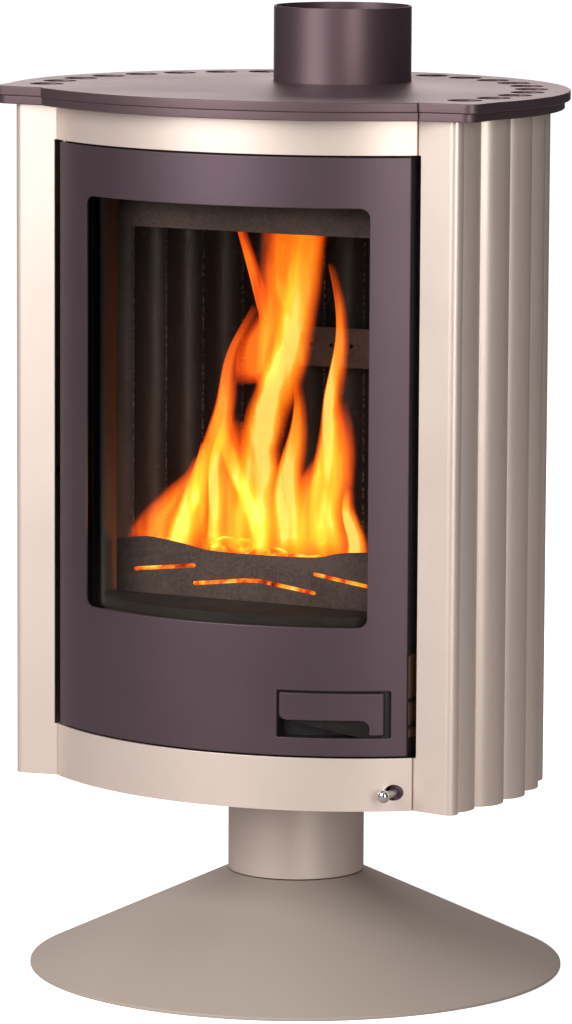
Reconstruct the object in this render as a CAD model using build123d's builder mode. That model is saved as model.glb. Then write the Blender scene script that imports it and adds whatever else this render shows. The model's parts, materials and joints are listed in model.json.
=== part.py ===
from build123d import *
import math
import os

os.makedirs("parts", exist_ok=True)

# A round wood burning stove on a pedestal. Millimetres, +Z up, front towards -Y.
# The origin is on the floor, on the axis of the pedestal.

# ---- driving dimensions -------------------------------------------------------------

# The barrel is the round casing. Its flutes, the firebox and the vent holes share one pitch.
BARREL_Y = -32.0
PITCH = 11.0
END_LOBE = 10.25

# The fascias and the door lie on one arc, whose centre is behind the middle of the stove.
ARC_Y = 125.0
SKIN_R = 349.0
SKIN_T = 3.0
DOOR_BACK_R = 327.0
FRAME_R = 323.0
FRAME_BACK_R = 319.0
FASCIA_HALF = 212.6

# Heights of the casing.
BODY_Z = 213.0
LOWER_FASCIA_TOP = 269.5
UPPER_FASCIA_Z = 902.0
BODY_TOP = 939.0
UNDER_PLATE_TOP = 948.2
TOP_Z = 958.2
COLLAR_TOP = 1039.6

# Cladding and firebox shells: valley and crest radii of their outer faces.
CLAD_VALLEY, CLAD_CREST, CLAD_T = 269.5, 281.5, 2.0
SHELL_VALLEY, SHELL_CREST, SHELL_T = 241.0, 251.0, 3.0

# Pedestal.
FOOT_R = 290.0
CONE_TOP = 105.0
NECK_R = 74.0
CORE_R = 68.0
BASE_T = 6.0

# Flue collar. Its shank, below the pipe seat, is a little thinner than the seat itself.
FLUE_R = 75.0
FLUE_SHANK_R = 73.0
FLUE_SEAT_Z = 960.0
FLUE_LAP = 15.0
FLUE_T = 2.0
FLUE_Y = 101.0

# Firebox heights.
FLOOR_Z = 258.0
HEARTH_Z = 400.0
SILL_Z = 411.0
SILL_T = 4.0
CEILING_Z = 916.0
PLATE_T = 4.0
ENTRANCE_HALF = 163.0
ENTRANCE_TOP = 857.0
INNER_Y = -111.0
SCREEN_Y = -118.0

# Door.
DOOR_HALF = 208.0
DOOR_Z, DOOR_TOP = 271.5, 900.0
WINDOW_X0, WINDOW_X1 = -159.0, 172.0
WINDOW_Z0, WINDOW_Z1 = 408.0, 847.0
WINDOW_CORNER = 10.0
DOOR_FRAME_HALF = 197.0
DOOR_FRAME_Z, DOOR_FRAME_TOP = 283.0, 880.0
SPACER_R = 340.0
GASKET_R = 344.3
GLASS_R = 340.3
HINGE_X, HINGE_Y = -204.5, -149.0
HINGE_PIN_R = 3.5
RUNNING = 0.06

# Handle recess and lever.
RECESS_X0, RECESS_X1 = 84.4, 194.0
RECESS_Z0, RECESS_Z1 = 291.0, 341.0
LEVER_X0, LEVER_X1 = 87.0, 187.6
LEVER_Z0, LEVER_Z1 = 294.0, 338.4
HANDLE_X, HANDLE_Y = 187.0, -158.5
HANDLE_PIN_R = 3.0
KNUCKLE_R = 6.5
HOOK_Z0, HOOK_Z1 = 313.0, 318.0

# Air control.
AIR_X, AIR_Z = 197.0, 233.0
AIR_ROD_R = 4.0


# ---- shapes used more than once -----------------------------------------------------


def polar(radius, degrees):
    """A point at an angle from the rear of the stove, about the axis of the barrel."""
    angle = math.radians(degrees)
    return (radius * math.sin(angle), BARREL_Y + radius * math.cos(angle))


def arc_depth(radius, x):
    """Y of the front arc of this radius at this x."""
    return ARC_Y - math.sqrt(radius**2 - x**2)


def flute_point(valley, crest, step):
    """A point on a fluted outline, where step counts pitches from the rear."""
    share = 2 * (step - round(step))
    return polar(crest - (crest - valley) * share**2, step * PITCH)


def flute_arcs(valley, crest, first, last):
    """One arc for each flute from first to last, which may end part way round a flute."""
    breaks = [first]
    edge = math.floor(first + 0.5) + 0.5
    while edge < last:
        breaks.append(edge)
        edge += 1
    breaks.append(last)
    for start, end in zip(breaks, breaks[1:]):
        middle = (start + end) / 2
        ThreePointArc(*(flute_point(valley, crest, step) for step in (start, middle, end)))


def fluted_shell(valley, crest, thickness, first, last, bottom, top):
    """A fluted wall of even thickness, open at the front."""
    with BuildPart(mode=Mode.PRIVATE) as wall:
        with BuildSketch(Plane.XY.offset(bottom)):
            with BuildLine():
                flute_arcs(valley, crest, first, last)
                flute_arcs(valley - thickness, crest - thickness, first, last)
                for step in (first, last):
                    Line(
                        flute_point(valley, crest, step),
                        flute_point(valley - thickness, crest - thickness, step),
                    )
            make_face()
        extrude(amount=top - bottom)
    return wall.part


def barrel_disc(radius, bottom, thickness, front_radius=FRAME_BACK_R):
    """A level disc about the barrel, cut back at the front to the arc of front_radius."""
    with BuildPart(mode=Mode.PRIVATE) as disc:
        with BuildSketch(Plane.XY.offset(bottom)):
            with Locations((0, BARREL_Y)):
                Circle(radius)
            with Locations((0, ARC_Y)):
                Circle(front_radius, mode=Mode.INTERSECT)
        extrude(amount=thickness)
    return disc.part


def curved_plate(outer, inner, x0, x1, z0, z1):
    """A plate between two radii of the front arc, from x0 to x1 and from z0 to z1."""
    depth = outer + 10
    with BuildPart(mode=Mode.PRIVATE) as plate:
        with BuildSketch(Plane.XY.offset(z0)):
            with Locations((0, ARC_Y)):
                Circle(outer)
                Circle(inner, mode=Mode.SUBTRACT)
            with Locations(((x0 + x1) / 2, ARC_Y - depth / 2)):
                Rectangle(x1 - x0, depth, mode=Mode.INTERSECT)
        extrude(amount=z1 - z0)
    return plate.part


def opening(x0, x1, z0, z1, corner=0.0):
    """A block that cuts an opening with rounded corners through the front of the stove."""
    with BuildPart(mode=Mode.PRIVATE) as block:
        with BuildSketch(Plane.XZ.offset(100)):
            with Locations(((x0 + x1) / 2, (z0 + z1) / 2)):
                if corner:
                    RectangleRounded(x1 - x0, z1 - z0, corner)
                else:
                    Rectangle(x1 - x0, z1 - z0)
        extrude(amount=150)
    return block.part


def box(x0, x1, y0, y1, z0, z1):
    """A block between two corners."""
    with BuildPart(mode=Mode.PRIVATE) as block:
        with Locations(((x0 + x1) / 2, (y0 + y1) / 2, (z0 + z1) / 2)):
            Box(x1 - x0, y1 - y0, z1 - z0)
    return block.part


def rod(x, y, z0, z1, radius):
    """An upright round bar."""
    with BuildPart(mode=Mode.PRIVATE) as bar:
        with Locations((x, y, z0)):
            Cylinder(radius, z1 - z0, align=(Align.CENTER, Align.CENTER, Align.MIN))
    return bar.part


def front_rod(x, z, y0, y1, radius):
    """A round bar along Y."""
    with BuildPart(mode=Mode.PRIVATE) as bar:
        with Locations(Location((x, y1, z), (90, 0, 0))):
            Cylinder(radius, y1 - y0, align=(Align.CENTER, Align.CENTER, Align.MIN))
    return bar.part


def save(piece, name):
    """Name a finished piece and write it."""
    piece.part.label = name
    export_step(piece.part, f"parts/{name}.step")


# ---- pedestal -----------------------------------------------------------------------

with BuildPart() as base_plate:
    add(rod(0, 0, 0, BASE_T, FOOT_R - 28))
    add(rod(0, 0, 0, BASE_T, CORE_R - 8), mode=Mode.SUBTRACT)
save(base_plate, "base_plate")

CONE_WALL = 6.8
with BuildPart() as pedestal_cone:
    with BuildSketch(Plane.XZ):
        with BuildLine():
            Polyline(
                (FOOT_R - CONE_WALL - 2, 0),
                (FOOT_R - 1.5, 0),
                (FOOT_R, 1.5),
                (FOOT_R, 3),
                (NECK_R, CONE_TOP),
                (CORE_R + 0.2, CONE_TOP),
                (CORE_R + 0.2, CONE_TOP - 3),
                (FOOT_R - CONE_WALL - 2, 0),
            )
        make_face()
    revolve(axis=Axis.Z)
save(pedestal_cone, "pedestal_cone")

with BuildPart() as column_core:
    add(rod(0, 0, BASE_T, BODY_Z - 6, CORE_R))
    add(rod(0, 0, BASE_T, BODY_Z - 6, CORE_R - 4), mode=Mode.SUBTRACT)
save(column_core, "column_core")

with BuildPart() as pedestal_neck:
    add(rod(0, 0, CONE_TOP + 1.2, BODY_Z - 6, NECK_R))
    add(rod(0, 0, CONE_TOP + 1.2, BODY_Z - 6, NECK_R - 2.5), mode=Mode.SUBTRACT)
save(pedestal_neck, "pedestal_neck")

FLANGE_R = 110.0
FLANGE_BOLT_R = 92.0
FLANGE_BOLTS = 6
TRAY_T = 4.0
BOLT_R = 4.0
with BuildPart() as neck_flange:
    add(rod(0, 0, BODY_Z - 6, BODY_Z, FLANGE_R))
    with PolarLocations(FLANGE_BOLT_R, FLANGE_BOLTS):
        Hole(BOLT_R + 0.3)
save(neck_flange, "neck_flange")

with BuildPart() as flange_bolts:
    with PolarLocations(FLANGE_BOLT_R, FLANGE_BOLTS):
        with Locations((0, 0, BODY_Z - 6 - 5.3)):
            Cylinder(BOLT_R, 22, align=(Align.CENTER, Align.CENTER, Align.MIN))
    for level, height in ((BODY_Z - 6 - 5.3, 5.3), (BODY_Z + TRAY_T, 6.5)):
        with BuildSketch(Plane.XY.offset(level)):
            with PolarLocations(FLANGE_BOLT_R, FLANGE_BOLTS):
                RegularPolygon(7.5, 6)
        extrude(amount=height)
save(flange_bolts, "flange_bolts")

# ---- base of the body ---------------------------------------------------------------

SPIGOT_R = 50.0
SPIGOT_Y = 164.0
DAMPER_X0, DAMPER_X1 = 140.0, 212.0
DAMPER_Y0, DAMPER_Y1 = -96.0, -16.0
DAMPER_T = 2.5
PORT_SIZE = 36.0
with BuildPart() as base_tray:
    add(barrel_disc(252, BODY_Z, TRAY_T, SKIN_R - SKIN_T - 1))
    for side in (-1, 1):
        add(box(side * 232 - 20, side * 232 + 20, -240, -128, BODY_Z - 1, BODY_Z + 10), mode=Mode.SUBTRACT)
    with PolarLocations(FLANGE_BOLT_R, FLANGE_BOLTS):
        Hole(BOLT_R + 0.3)
    with Locations((0, SPIGOT_Y)):
        Hole(SPIGOT_R)
save(base_tray, "base_tray")

with BuildPart() as air_spigot:
    add(rod(0, SPIGOT_Y, BODY_Z - 30, BODY_Z + TRAY_T + 3, SPIGOT_R))
    add(rod(0, SPIGOT_Y, BODY_Z - 30, BODY_Z + TRAY_T + 3, SPIGOT_R - 2), mode=Mode.SUBTRACT)
save(air_spigot, "air_spigot")

with BuildPart() as damper_housing:
    add(box(DAMPER_X0, DAMPER_X1, DAMPER_Y0, DAMPER_Y1, 222, FLOOR_Z))
    add(
        box(
            DAMPER_X0 + DAMPER_T,
            DAMPER_X1 - DAMPER_T,
            DAMPER_Y0 + DAMPER_T,
            DAMPER_Y1 - DAMPER_T,
            222 + DAMPER_T,
            FLOOR_Z + 1,
        ),
        mode=Mode.SUBTRACT,
    )
    port_x = (DAMPER_X0 + DAMPER_X1) / 2
    with Locations((port_x, DAMPER_Y1 - DAMPER_T - PORT_SIZE / 2 - 3, 222)):
        Box(PORT_SIZE, PORT_SIZE, 10, mode=Mode.SUBTRACT)
    add(front_rod(AIR_X, AIR_Z, DAMPER_Y0 - 1, DAMPER_Y0 + DAMPER_T + 1, AIR_ROD_R + 0.6), mode=Mode.SUBTRACT)
save(damper_housing, "damper_housing")

with BuildPart() as air_slide:
    add(box(DAMPER_X0 + 4, DAMPER_X1 - 4, DAMPER_Y1 - 46, DAMPER_Y1 - 4, AIR_Z - 6, AIR_Z - 3))
    add(box(AIR_X - 8, AIR_X + 8, DAMPER_Y1 - 46, DAMPER_Y1 - 42, AIR_Z - 6, AIR_Z + 6))
save(air_slide, "air_slide")

KNOB_Y = -178.0
with BuildPart() as air_rod:
    add(front_rod(AIR_X, AIR_Z, KNOB_Y, DAMPER_Y1 - 46, AIR_ROD_R))
save(air_rod, "air_rod")

with BuildPart() as air_knob:
    with BuildSketch(Plane(origin=(AIR_X, KNOB_Y, AIR_Z))):
        with BuildLine():
            Polyline((0, 0), (3.4, 0), (4.2, -2), (6.8, -8))
            Spline((6.8, -8), (5.2, -13), (0, -15), tangents=((0.1, -1), (-1, 0)))
            Line((0, -15), (0, 0))
        make_face()
    revolve(axis=Axis((AIR_X, 0, AIR_Z), (0, 1, 0)))
save(air_knob, "air_knob")

# ---- firebox ------------------------------------------------------------------------

with BuildPart() as firebox_floor:
    add(barrel_disc(SHELL_CREST + 2, FLOOR_Z, PLATE_T))
    with Locations((port_x, (DAMPER_Y0 + DAMPER_Y1) / 2, FLOOR_Z)):
        Box(50, 56, 20, mode=Mode.SUBTRACT)
save(firebox_floor, "firebox_floor")

SHELL_Z = FLOOR_Z + PLATE_T
with BuildPart() as firebox_shell:
    add(fluted_shell(SHELL_VALLEY, SHELL_CREST, SHELL_T, -11.5, 11.5, SHELL_Z, CEILING_Z))
    with BuildSketch(Plane.XY.offset(SHELL_Z)):
        with Locations((0, ARC_Y)):
            Circle(FRAME_BACK_R)
    extrude(amount=CEILING_Z - SHELL_Z, mode=Mode.INTERSECT)
save(firebox_shell, "firebox_shell")

PAN_OPEN_HALF, PAN_OPEN_Z0, PAN_OPEN_Z1 = 134.0, 300.0, 366.0
FRAME_HALF = 246.0
with BuildPart() as front_frame:
    add(curved_plate(FRAME_R, FRAME_BACK_R, -FRAME_HALF, FRAME_HALF, FLOOR_Z, CEILING_Z + PLATE_T))
    add(
        opening(-ENTRANCE_HALF, ENTRANCE_HALF, SILL_Z + SILL_T, ENTRANCE_TOP),
        mode=Mode.SUBTRACT,
    )
    add(
        opening(-PAN_OPEN_HALF, PAN_OPEN_HALF, PAN_OPEN_Z0, PAN_OPEN_Z1, 6),
        mode=Mode.SUBTRACT,
    )
save(front_frame, "front_frame")

with BuildPart() as firebox_ceiling:
    add(barrel_disc(SHELL_CREST + 2, CEILING_Z, PLATE_T))
    add(rod(0, FLUE_Y, CEILING_Z - 1, CEILING_Z + 10, FLUE_SHANK_R), mode=Mode.SUBTRACT)
save(firebox_ceiling, "firebox_ceiling")

REVEAL_T = 3.0
with BuildPart() as entrance_reveals:
    for side in (-1, 1):
        x0, x1 = sorted((side * ENTRANCE_HALF, side * (ENTRANCE_HALF + REVEAL_T)))
        add(box(x0, x1, -200, INNER_Y, SILL_Z + SILL_T, ENTRANCE_TOP))
    with BuildSketch(Plane.XY.offset(SILL_Z)):
        with Locations((0, ARC_Y)):
            Circle(FRAME_BACK_R)
    extrude(amount=ENTRANCE_TOP, mode=Mode.INTERSECT)
save(entrance_reveals, "entrance_reveals")


def entrance_shelf(bottom, thickness):
    """A level plate across the entrance, from the front frame back to the fire chamber."""
    half = ENTRANCE_HALF + REVEAL_T
    with BuildPart(mode=Mode.PRIVATE) as shelf:
        with BuildSketch(Plane.XY.offset(bottom)):
            with Locations((0, ARC_Y)):
                Circle(FRAME_BACK_R)
            with Locations((0, INNER_Y - 50)):
                Rectangle(2 * half, 100, mode=Mode.INTERSECT)
        extrude(amount=thickness)
    return shelf.part


with BuildPart() as sill_plate:
    add(entrance_shelf(SILL_Z, SILL_T))
save(sill_plate, "sill_plate")

with BuildPart() as lintel_plate:
    add(entrance_shelf(ENTRANCE_TOP, REVEAL_T))
save(lintel_plate, "lintel_plate")

GRATE_X, GRATE_Y = 240.0, 180.0
GRATE_CENTRE_Y = 30.0
HEARTH_R = SHELL_VALLEY - SHELL_T - 0.5
with BuildPart() as hearth_plate:
    add(barrel_disc(HEARTH_R, HEARTH_Z, PLATE_T, FRAME_BACK_R - 0.5))
    with Locations((0, GRATE_CENTRE_Y, HEARTH_Z)):
        Box(GRATE_X, GRATE_Y, 40, mode=Mode.SUBTRACT)
save(hearth_plate, "hearth_plate")

BAR_COUNT = 11
with BuildPart() as grate:
    with Locations((0, GRATE_CENTRE_Y, HEARTH_Z - 6)):
        Box(GRATE_X - 2, GRATE_Y - 2, 10, align=(Align.CENTER, Align.CENTER, Align.MIN))
    with BuildSketch(Plane.XY.offset(HEARTH_Z - 8)):
        with Locations((0, GRATE_CENTRE_Y)):
            with GridLocations(20, 0, BAR_COUNT, 1):
                SlotOverall(GRATE_Y - 30, 10, rotation=90)
    extrude(amount=20, mode=Mode.SUBTRACT)
save(grate, "grate")

PAN_HALF = 128.0
PAN_Y0, PAN_Y1 = -150.0, 60.0
PAN_Z0, PAN_Z1 = 304.0, 358.0
with BuildPart() as ash_pan:
    add(box(-PAN_HALF, PAN_HALF, PAN_Y0, PAN_Y1, PAN_Z0, PAN_Z1))
    fillet(ash_pan.edges().filter_by(Axis.Z), radius=8)
    top_face = ash_pan.faces().sort_by(Axis.Z)[-1]
    offset(amount=-2, openings=top_face)
save(ash_pan, "ash_pan")

with BuildPart() as ash_pan_rails:
    for side in (-1, 1):
        with BuildSketch(Plane.XZ.offset(-PAN_Y1)):
            with BuildLine():
                Polyline(
                    (side * (PAN_HALF - 20), SHELL_Z),
                    (side * (PAN_HALF - 20), PAN_Z0),
                    (side * (PAN_HALF + 3), PAN_Z0),
                    (side * (PAN_HALF + 3), PAN_Z0 - 2),
                    (side * (PAN_HALF - 18), PAN_Z0 - 2),
                    (side * (PAN_HALF - 18), SHELL_Z),
                    (side * (PAN_HALF - 20), SHELL_Z),
                )
            make_face()
        extrude(amount=PAN_Y1 - PAN_Y0)
save(ash_pan_rails, "ash_pan_rails")

# ---- fittings seen inside the fire chamber ------------------------------------------

SCREEN_T = 2.0
RETAINER_HALF = 159.0
RETAINER_BASE = SILL_Z + SILL_T
SLOT_W = 4.4
with BuildPart() as log_retainer:
    with BuildSketch(Plane.XZ.offset(-SCREEN_Y)):
        with BuildLine():
            Spline(
                (-RETAINER_HALF, 472),
                (-120, 476.5),
                (-79, 472),
                (-40, 466.3),
                (40, 466.5),
                (82, 468.5),
                (112, 475),
                (RETAINER_HALF, 479),
            )
            Line((RETAINER_HALF, 479), (RETAINER_HALF, RETAINER_BASE))
            Line((RETAINER_HALF, RETAINER_BASE), (-RETAINER_HALF, RETAINER_BASE))
            Line((-RETAINER_HALF, RETAINER_BASE), (-RETAINER_HALF, 472))
        make_face()
        for points in (
            [(-136, 440.5), (-65, 449)],
            [(-64, 429.8), (-4, 437.3), (15, 438), (79, 429.8)],
            [(80, 450), (152, 440.2)],
        ):
            for start, end in zip(points, points[1:]):
                tilt = math.degrees(math.atan2(end[1] - start[1], end[0] - start[0]))
                with Locations(((start[0] + end[0]) / 2, (start[1] + end[1]) / 2)):
                    SlotCenterToCenter(math.dist(start, end), SLOT_W, rotation=tilt, mode=Mode.SUBTRACT)
    extrude(amount=-SCREEN_T)
save(log_retainer, "log_retainer")

with BuildPart() as retainer_brackets:
    for side in (-1, 1):
        x0, x1 = sorted((side * 146, side * 158))
        add(box(x0, x1, SCREEN_Y + SCREEN_T, SCREEN_Y + SCREEN_T + 3, RETAINER_BASE, RETAINER_BASE + 26))
save(retainer_brackets, "retainer_brackets")

with BuildPart() as air_wash_deflector:
    with BuildSketch(Plane.XZ.offset(-SCREEN_Y)):
        with Locations((0, 833)):
            RectangleRounded(2 * 157, 46, 8)
        with Locations((0, 850)):
            Rectangle(2 * ENTRANCE_HALF - 1, 14)
    extrude(amount=-SCREEN_T)
save(air_wash_deflector, "air_wash_deflector")

AIR_BAR_HALF = 100.0
AIR_BAR_Y = 178.0
with BuildPart() as secondary_air_bar:
    add(box(-AIR_BAR_HALF, AIR_BAR_HALF, AIR_BAR_Y, AIR_BAR_Y + 10, 634, 678))
    add(box(-AIR_BAR_HALF + 2, AIR_BAR_HALF - 2, AIR_BAR_Y + 2, AIR_BAR_Y + 11, 636, 676), mode=Mode.SUBTRACT)
    with Locations(Plane.XZ.offset(-AIR_BAR_Y)):
        with Locations((0, 658)):
            with GridLocations(25, 0, 7, 1):
                Cylinder(2.3, 20, mode=Mode.SUBTRACT)
save(secondary_air_bar, "secondary_air_bar")

with BuildPart() as secondary_air_duct:
    add(box(-25, 25, 220, 231, SHELL_Z, 690))
    add(box(-23.5, 23.5, 221.5, 229.5, SHELL_Z - 1, 688.5), mode=Mode.SUBTRACT)
save(secondary_air_duct, "secondary_air_duct")

BAFFLE_Z = 862.0
BAFFLE_T = 8.0
with BuildPart() as baffle_plate:
    add(barrel_disc(HEARTH_R, BAFFLE_Z, BAFFLE_T))
    add(box(-300, 300, -300, -70, BAFFLE_Z - 1, BAFFLE_Z + 30), mode=Mode.SUBTRACT)
save(baffle_plate, "baffle_plate")

with BuildPart() as baffle_supports:
    for degrees in (-78.4, -33.6, 33.6, 78.4):
        with Locations(Plane(origin=(*polar(226, degrees), BAFFLE_Z), x_dir=(1, 0, 0)).rotated((0, 0, -degrees))):
            Box(24, 22, 4, align=(Align.CENTER, Align.CENTER, Align.MAX))
save(baffle_supports, "baffle_supports")

# ---- casing -------------------------------------------------------------------------


def top_outline(inset, front_inset):
    """Outline of a top plate: round behind, a straight corner over each pillar, an arc in front."""
    radius = 302.8 - inset
    arc_end = 222
    beak_y = -169.5 + front_inset
    shoulder = (272 - 0.6 * inset, -167 + front_inset)
    side_y = -118
    side = (math.sqrt(radius**2 - (side_y - BARREL_Y) ** 2), side_y)
    front = 371 - front_inset
    with BuildSketch(mode=Mode.PRIVATE) as outline:
        with BuildLine():
            ThreePointArc(
                (0, ARC_Y - front),
                (arc_end / 2, arc_depth(front, arc_end / 2)),
                (arc_end, arc_depth(front, arc_end)),
            )
            Line((arc_end, arc_depth(front, arc_end)), (arc_end, beak_y))
            Line((arc_end, beak_y), shoulder)
            corner = (shoulder[0] + 14, shoulder[1] + 12)
            TangentArc(shoulder, corner, tangent=(1, 0.05))
            Line(corner, side)
            ThreePointArc(side, (radius, BARREL_Y), (0, BARREL_Y + radius))
            mirror(about=Plane.YZ)
        make_face()
    return outline.sketch


VENT_R = 18.0
VENT_PITCH_R = 261.0
VENT_STEP = 10.8
LAST_VENT = 10


def cut_vents(plate_z):
    """Blocks for the round vent holes over the convection channel."""
    with BuildPart(mode=Mode.PRIVATE) as holes:
        for step in range(-LAST_VENT, LAST_VENT + 1):
            with Locations((*polar(VENT_PITCH_R, step * VENT_STEP), plate_z)):
                Cylinder(VENT_R, 40)
    return holes.part


with BuildPart() as under_plate:
    add(top_outline(6, 1.5).moved(Location((0, 0, BODY_TOP))))
    extrude(amount=UNDER_PLATE_TOP - BODY_TOP)
    add(cut_vents(BODY_TOP), mode=Mode.SUBTRACT)
    add(rod(0, FLUE_Y, BODY_TOP - 1, TOP_Z, FLUE_R + 1), mode=Mode.SUBTRACT)
save(under_plate, "under_plate")

with BuildPart() as top_plate:
    add(top_outline(0, 0).moved(Location((0, 0, UNDER_PLATE_TOP))))
    extrude(amount=TOP_Z - UNDER_PLATE_TOP)
    add(cut_vents(TOP_Z), mode=Mode.SUBTRACT)
    add(rod(0, FLUE_Y, BODY_TOP, TOP_Z + 1, FLUE_SHANK_R), mode=Mode.SUBTRACT)
save(top_plate, "top_plate")

with BuildPart() as flue_collar:
    add(rod(0, FLUE_Y, CEILING_Z, FLUE_SEAT_Z, FLUE_SHANK_R))
    add(rod(0, FLUE_Y, FLUE_SEAT_Z, COLLAR_TOP, FLUE_R))
    add(rod(0, FLUE_Y, CEILING_Z, COLLAR_TOP, FLUE_SHANK_R - FLUE_T), mode=Mode.SUBTRACT)
    add(rod(0, FLUE_Y, FLUE_SEAT_Z + FLUE_LAP, COLLAR_TOP, FLUE_R - FLUE_T), mode=Mode.SUBTRACT)
save(flue_collar, "flue_collar")

with BuildPart() as top_spacers:
    for degrees in (-140, -90, -40, 40, 90, 140):
        x, y = polar(165 if abs(degrees) > 100 else 225, degrees)
        add(rod(x, y, CEILING_Z + PLATE_T, BODY_TOP, 8))
save(top_spacers, "top_spacers")

with BuildPart() as top_fascia:
    add(curved_plate(SKIN_R, SKIN_R - SKIN_T, -FASCIA_HALF, FASCIA_HALF, UPPER_FASCIA_Z, BODY_TOP))
save(top_fascia, "top_fascia")

with BuildPart() as bottom_fascia:
    add(curved_plate(SKIN_R, SKIN_R - SKIN_T, -FASCIA_HALF, FASCIA_HALF, BODY_Z, LOWER_FASCIA_TOP))
    add(front_rod(AIR_X, AIR_Z, -200, -140, 8.5), mode=Mode.SUBTRACT)
save(bottom_fascia, "bottom_fascia")

with BuildPart() as knob_bush:
    add(front_rod(AIR_X, AIR_Z, -166, -150, 8.5))
    add(front_rod(AIR_X, AIR_Z, -167, -149, AIR_ROD_R + RUNNING), mode=Mode.SUBTRACT)
save(knob_bush, "knob_bush")

PILLAR_T = 2.5
PILLAR_X0, PILLAR_X1 = 213.0, 263.9
PILLAR_Y0, PILLAR_Y1 = -150.6, -159.3
PILLAR_FOLD_R = 8.25
PILLAR_RETURN_Y = -146.0
NOTCH = 4.0


def pillar_body():
    """The right pillar: a folded channel, open behind, notched beside the door."""
    half = PILLAR_T / 2
    with BuildPart(mode=Mode.PRIVATE) as pillar:
        with BuildSketch(Plane.XY.offset(BODY_Z)):
            with BuildLine() as fold:
                FilletPolyline(
                    (PILLAR_X0 + half, PILLAR_Y0 + 18),
                    (PILLAR_X0 + half, PILLAR_Y0 + half),
                    (PILLAR_X1 - half, PILLAR_Y1 + half),
                    (PILLAR_X1 - half, PILLAR_RETURN_Y),
                    radius=(half + 0.2, PILLAR_FOLD_R),
                )
            trace(fold.edges(), PILLAR_T)
        extrude(amount=BODY_TOP - BODY_Z)
        add(
            box(PILLAR_X0 - 1, PILLAR_X0 + NOTCH, -180, -120, LOWER_FASCIA_TOP, UPPER_FASCIA_Z),
            mode=Mode.SUBTRACT,
        )
    return pillar.part


with BuildPart() as right_pillar:
    add(pillar_body())
save(right_pillar, "right_pillar")

with BuildPart() as left_pillar:
    add(pillar_body().mirror(Plane.YZ))
save(left_pillar, "left_pillar")

BRACKET_LEVELS = (240.0, 560.0, 925.0)
with BuildPart() as pillar_brackets:
    for side in (-1, 1):
        for level in BRACKET_LEVELS:
            x0, x1 = sorted((side * 226, side * 240))
            add(box(x0, x1, -149.5, -88, level - 20, level - 17))
    with BuildSketch(Plane.XY.offset(BODY_Z)):
        with Locations((0, ARC_Y)):
            Circle(500)
            Circle(FRAME_R, mode=Mode.SUBTRACT)
    extrude(amount=BODY_TOP, mode=Mode.INTERSECT)
save(pillar_brackets, "pillar_brackets")

SEAM = 0.02
CLAD_PANELS = (
    ("left_cladding", -END_LOBE, -5.5 - SEAM),
    ("rear_cladding", -5.5 + SEAM, 5.5 - SEAM),
    ("right_cladding", 5.5 + SEAM, END_LOBE),
)
for panel_name, first, last in CLAD_PANELS:
    with BuildPart() as cladding:
        add(fluted_shell(CLAD_VALLEY, CLAD_CREST, CLAD_T, first, last, BODY_Z, BODY_TOP))
    save(cladding, panel_name)

CLAD_BRACKET_R, CLAD_BRACKET_LENGTH = 265.1, 27.8
with BuildPart() as cladding_brackets:
    for step in (-8, -5, -2, 2, 5, 8):
        for level in (300, 880):
            where = Plane(origin=(*polar(CLAD_BRACKET_R, step * PITCH), level))
            with Locations(where.rotated((0, 0, -step * PITCH))):
                Box(8, CLAD_BRACKET_LENGTH, 3)
save(cladding_brackets, "cladding_brackets")

# ---- door ---------------------------------------------------------------------------

with BuildPart() as door_skin:
    add(curved_plate(SKIN_R, SKIN_R - SKIN_T, -DOOR_HALF, DOOR_HALF, DOOR_Z, DOOR_TOP))
    add(
        opening(WINDOW_X0, WINDOW_X1, WINDOW_Z0, WINDOW_Z1, WINDOW_CORNER),
        mode=Mode.SUBTRACT,
    )
    add(opening(RECESS_X0, RECESS_X1, RECESS_Z0, RECESS_Z1), mode=Mode.SUBTRACT)
save(door_skin, "door_skin")

LOWER_BAY = (-184.0, 205.0, 289.0, 376.0)
GLASS_X0, GLASS_X1 = -181.0, 188.0
GLASS_Z0, GLASS_Z1 = 389.0, 865.0
with BuildPart() as skin_spacer:
    add(
        curved_plate(
            SKIN_R - SKIN_T, SPACER_R, -DOOR_FRAME_HALF, DOOR_FRAME_HALF, DOOR_FRAME_Z, DOOR_FRAME_TOP
        )
    )
    add(opening(GLASS_X0 - 3, GLASS_X1 + 3, GLASS_Z0 - 3, GLASS_Z1 + 3), mode=Mode.SUBTRACT)
    add(opening(*LOWER_BAY), mode=Mode.SUBTRACT)
save(skin_spacer, "skin_spacer")

with BuildPart() as door_frame:
    add(
        curved_plate(SPACER_R, DOOR_BACK_R, -DOOR_FRAME_HALF, DOOR_FRAME_HALF, DOOR_FRAME_Z, DOOR_FRAME_TOP)
    )
    add(
        opening(WINDOW_X0 - 2, WINDOW_X1 + 2, WINDOW_Z0 - 3.5, WINDOW_Z1 + 3, WINDOW_CORNER),
        mode=Mode.SUBTRACT,
    )
    add(opening(*LOWER_BAY), mode=Mode.SUBTRACT)
save(door_frame, "door_frame")

with BuildPart() as glass_pane:
    add(curved_plate(GASKET_R, GLASS_R, GLASS_X0, GLASS_X1, GLASS_Z0, GLASS_Z1))
save(glass_pane, "glass_pane")

with BuildPart() as glass_gasket:
    add(curved_plate(SKIN_R - SKIN_T, GASKET_R, GLASS_X0, GLASS_X1, GLASS_Z0, GLASS_Z1))
    add(
        opening(WINDOW_X0 - 1, WINDOW_X1 + 1, WINDOW_Z0 - 1, WINDOW_Z1 + 1, WINDOW_CORNER),
        mode=Mode.SUBTRACT,
    )
save(glass_gasket, "glass_gasket")

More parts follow.
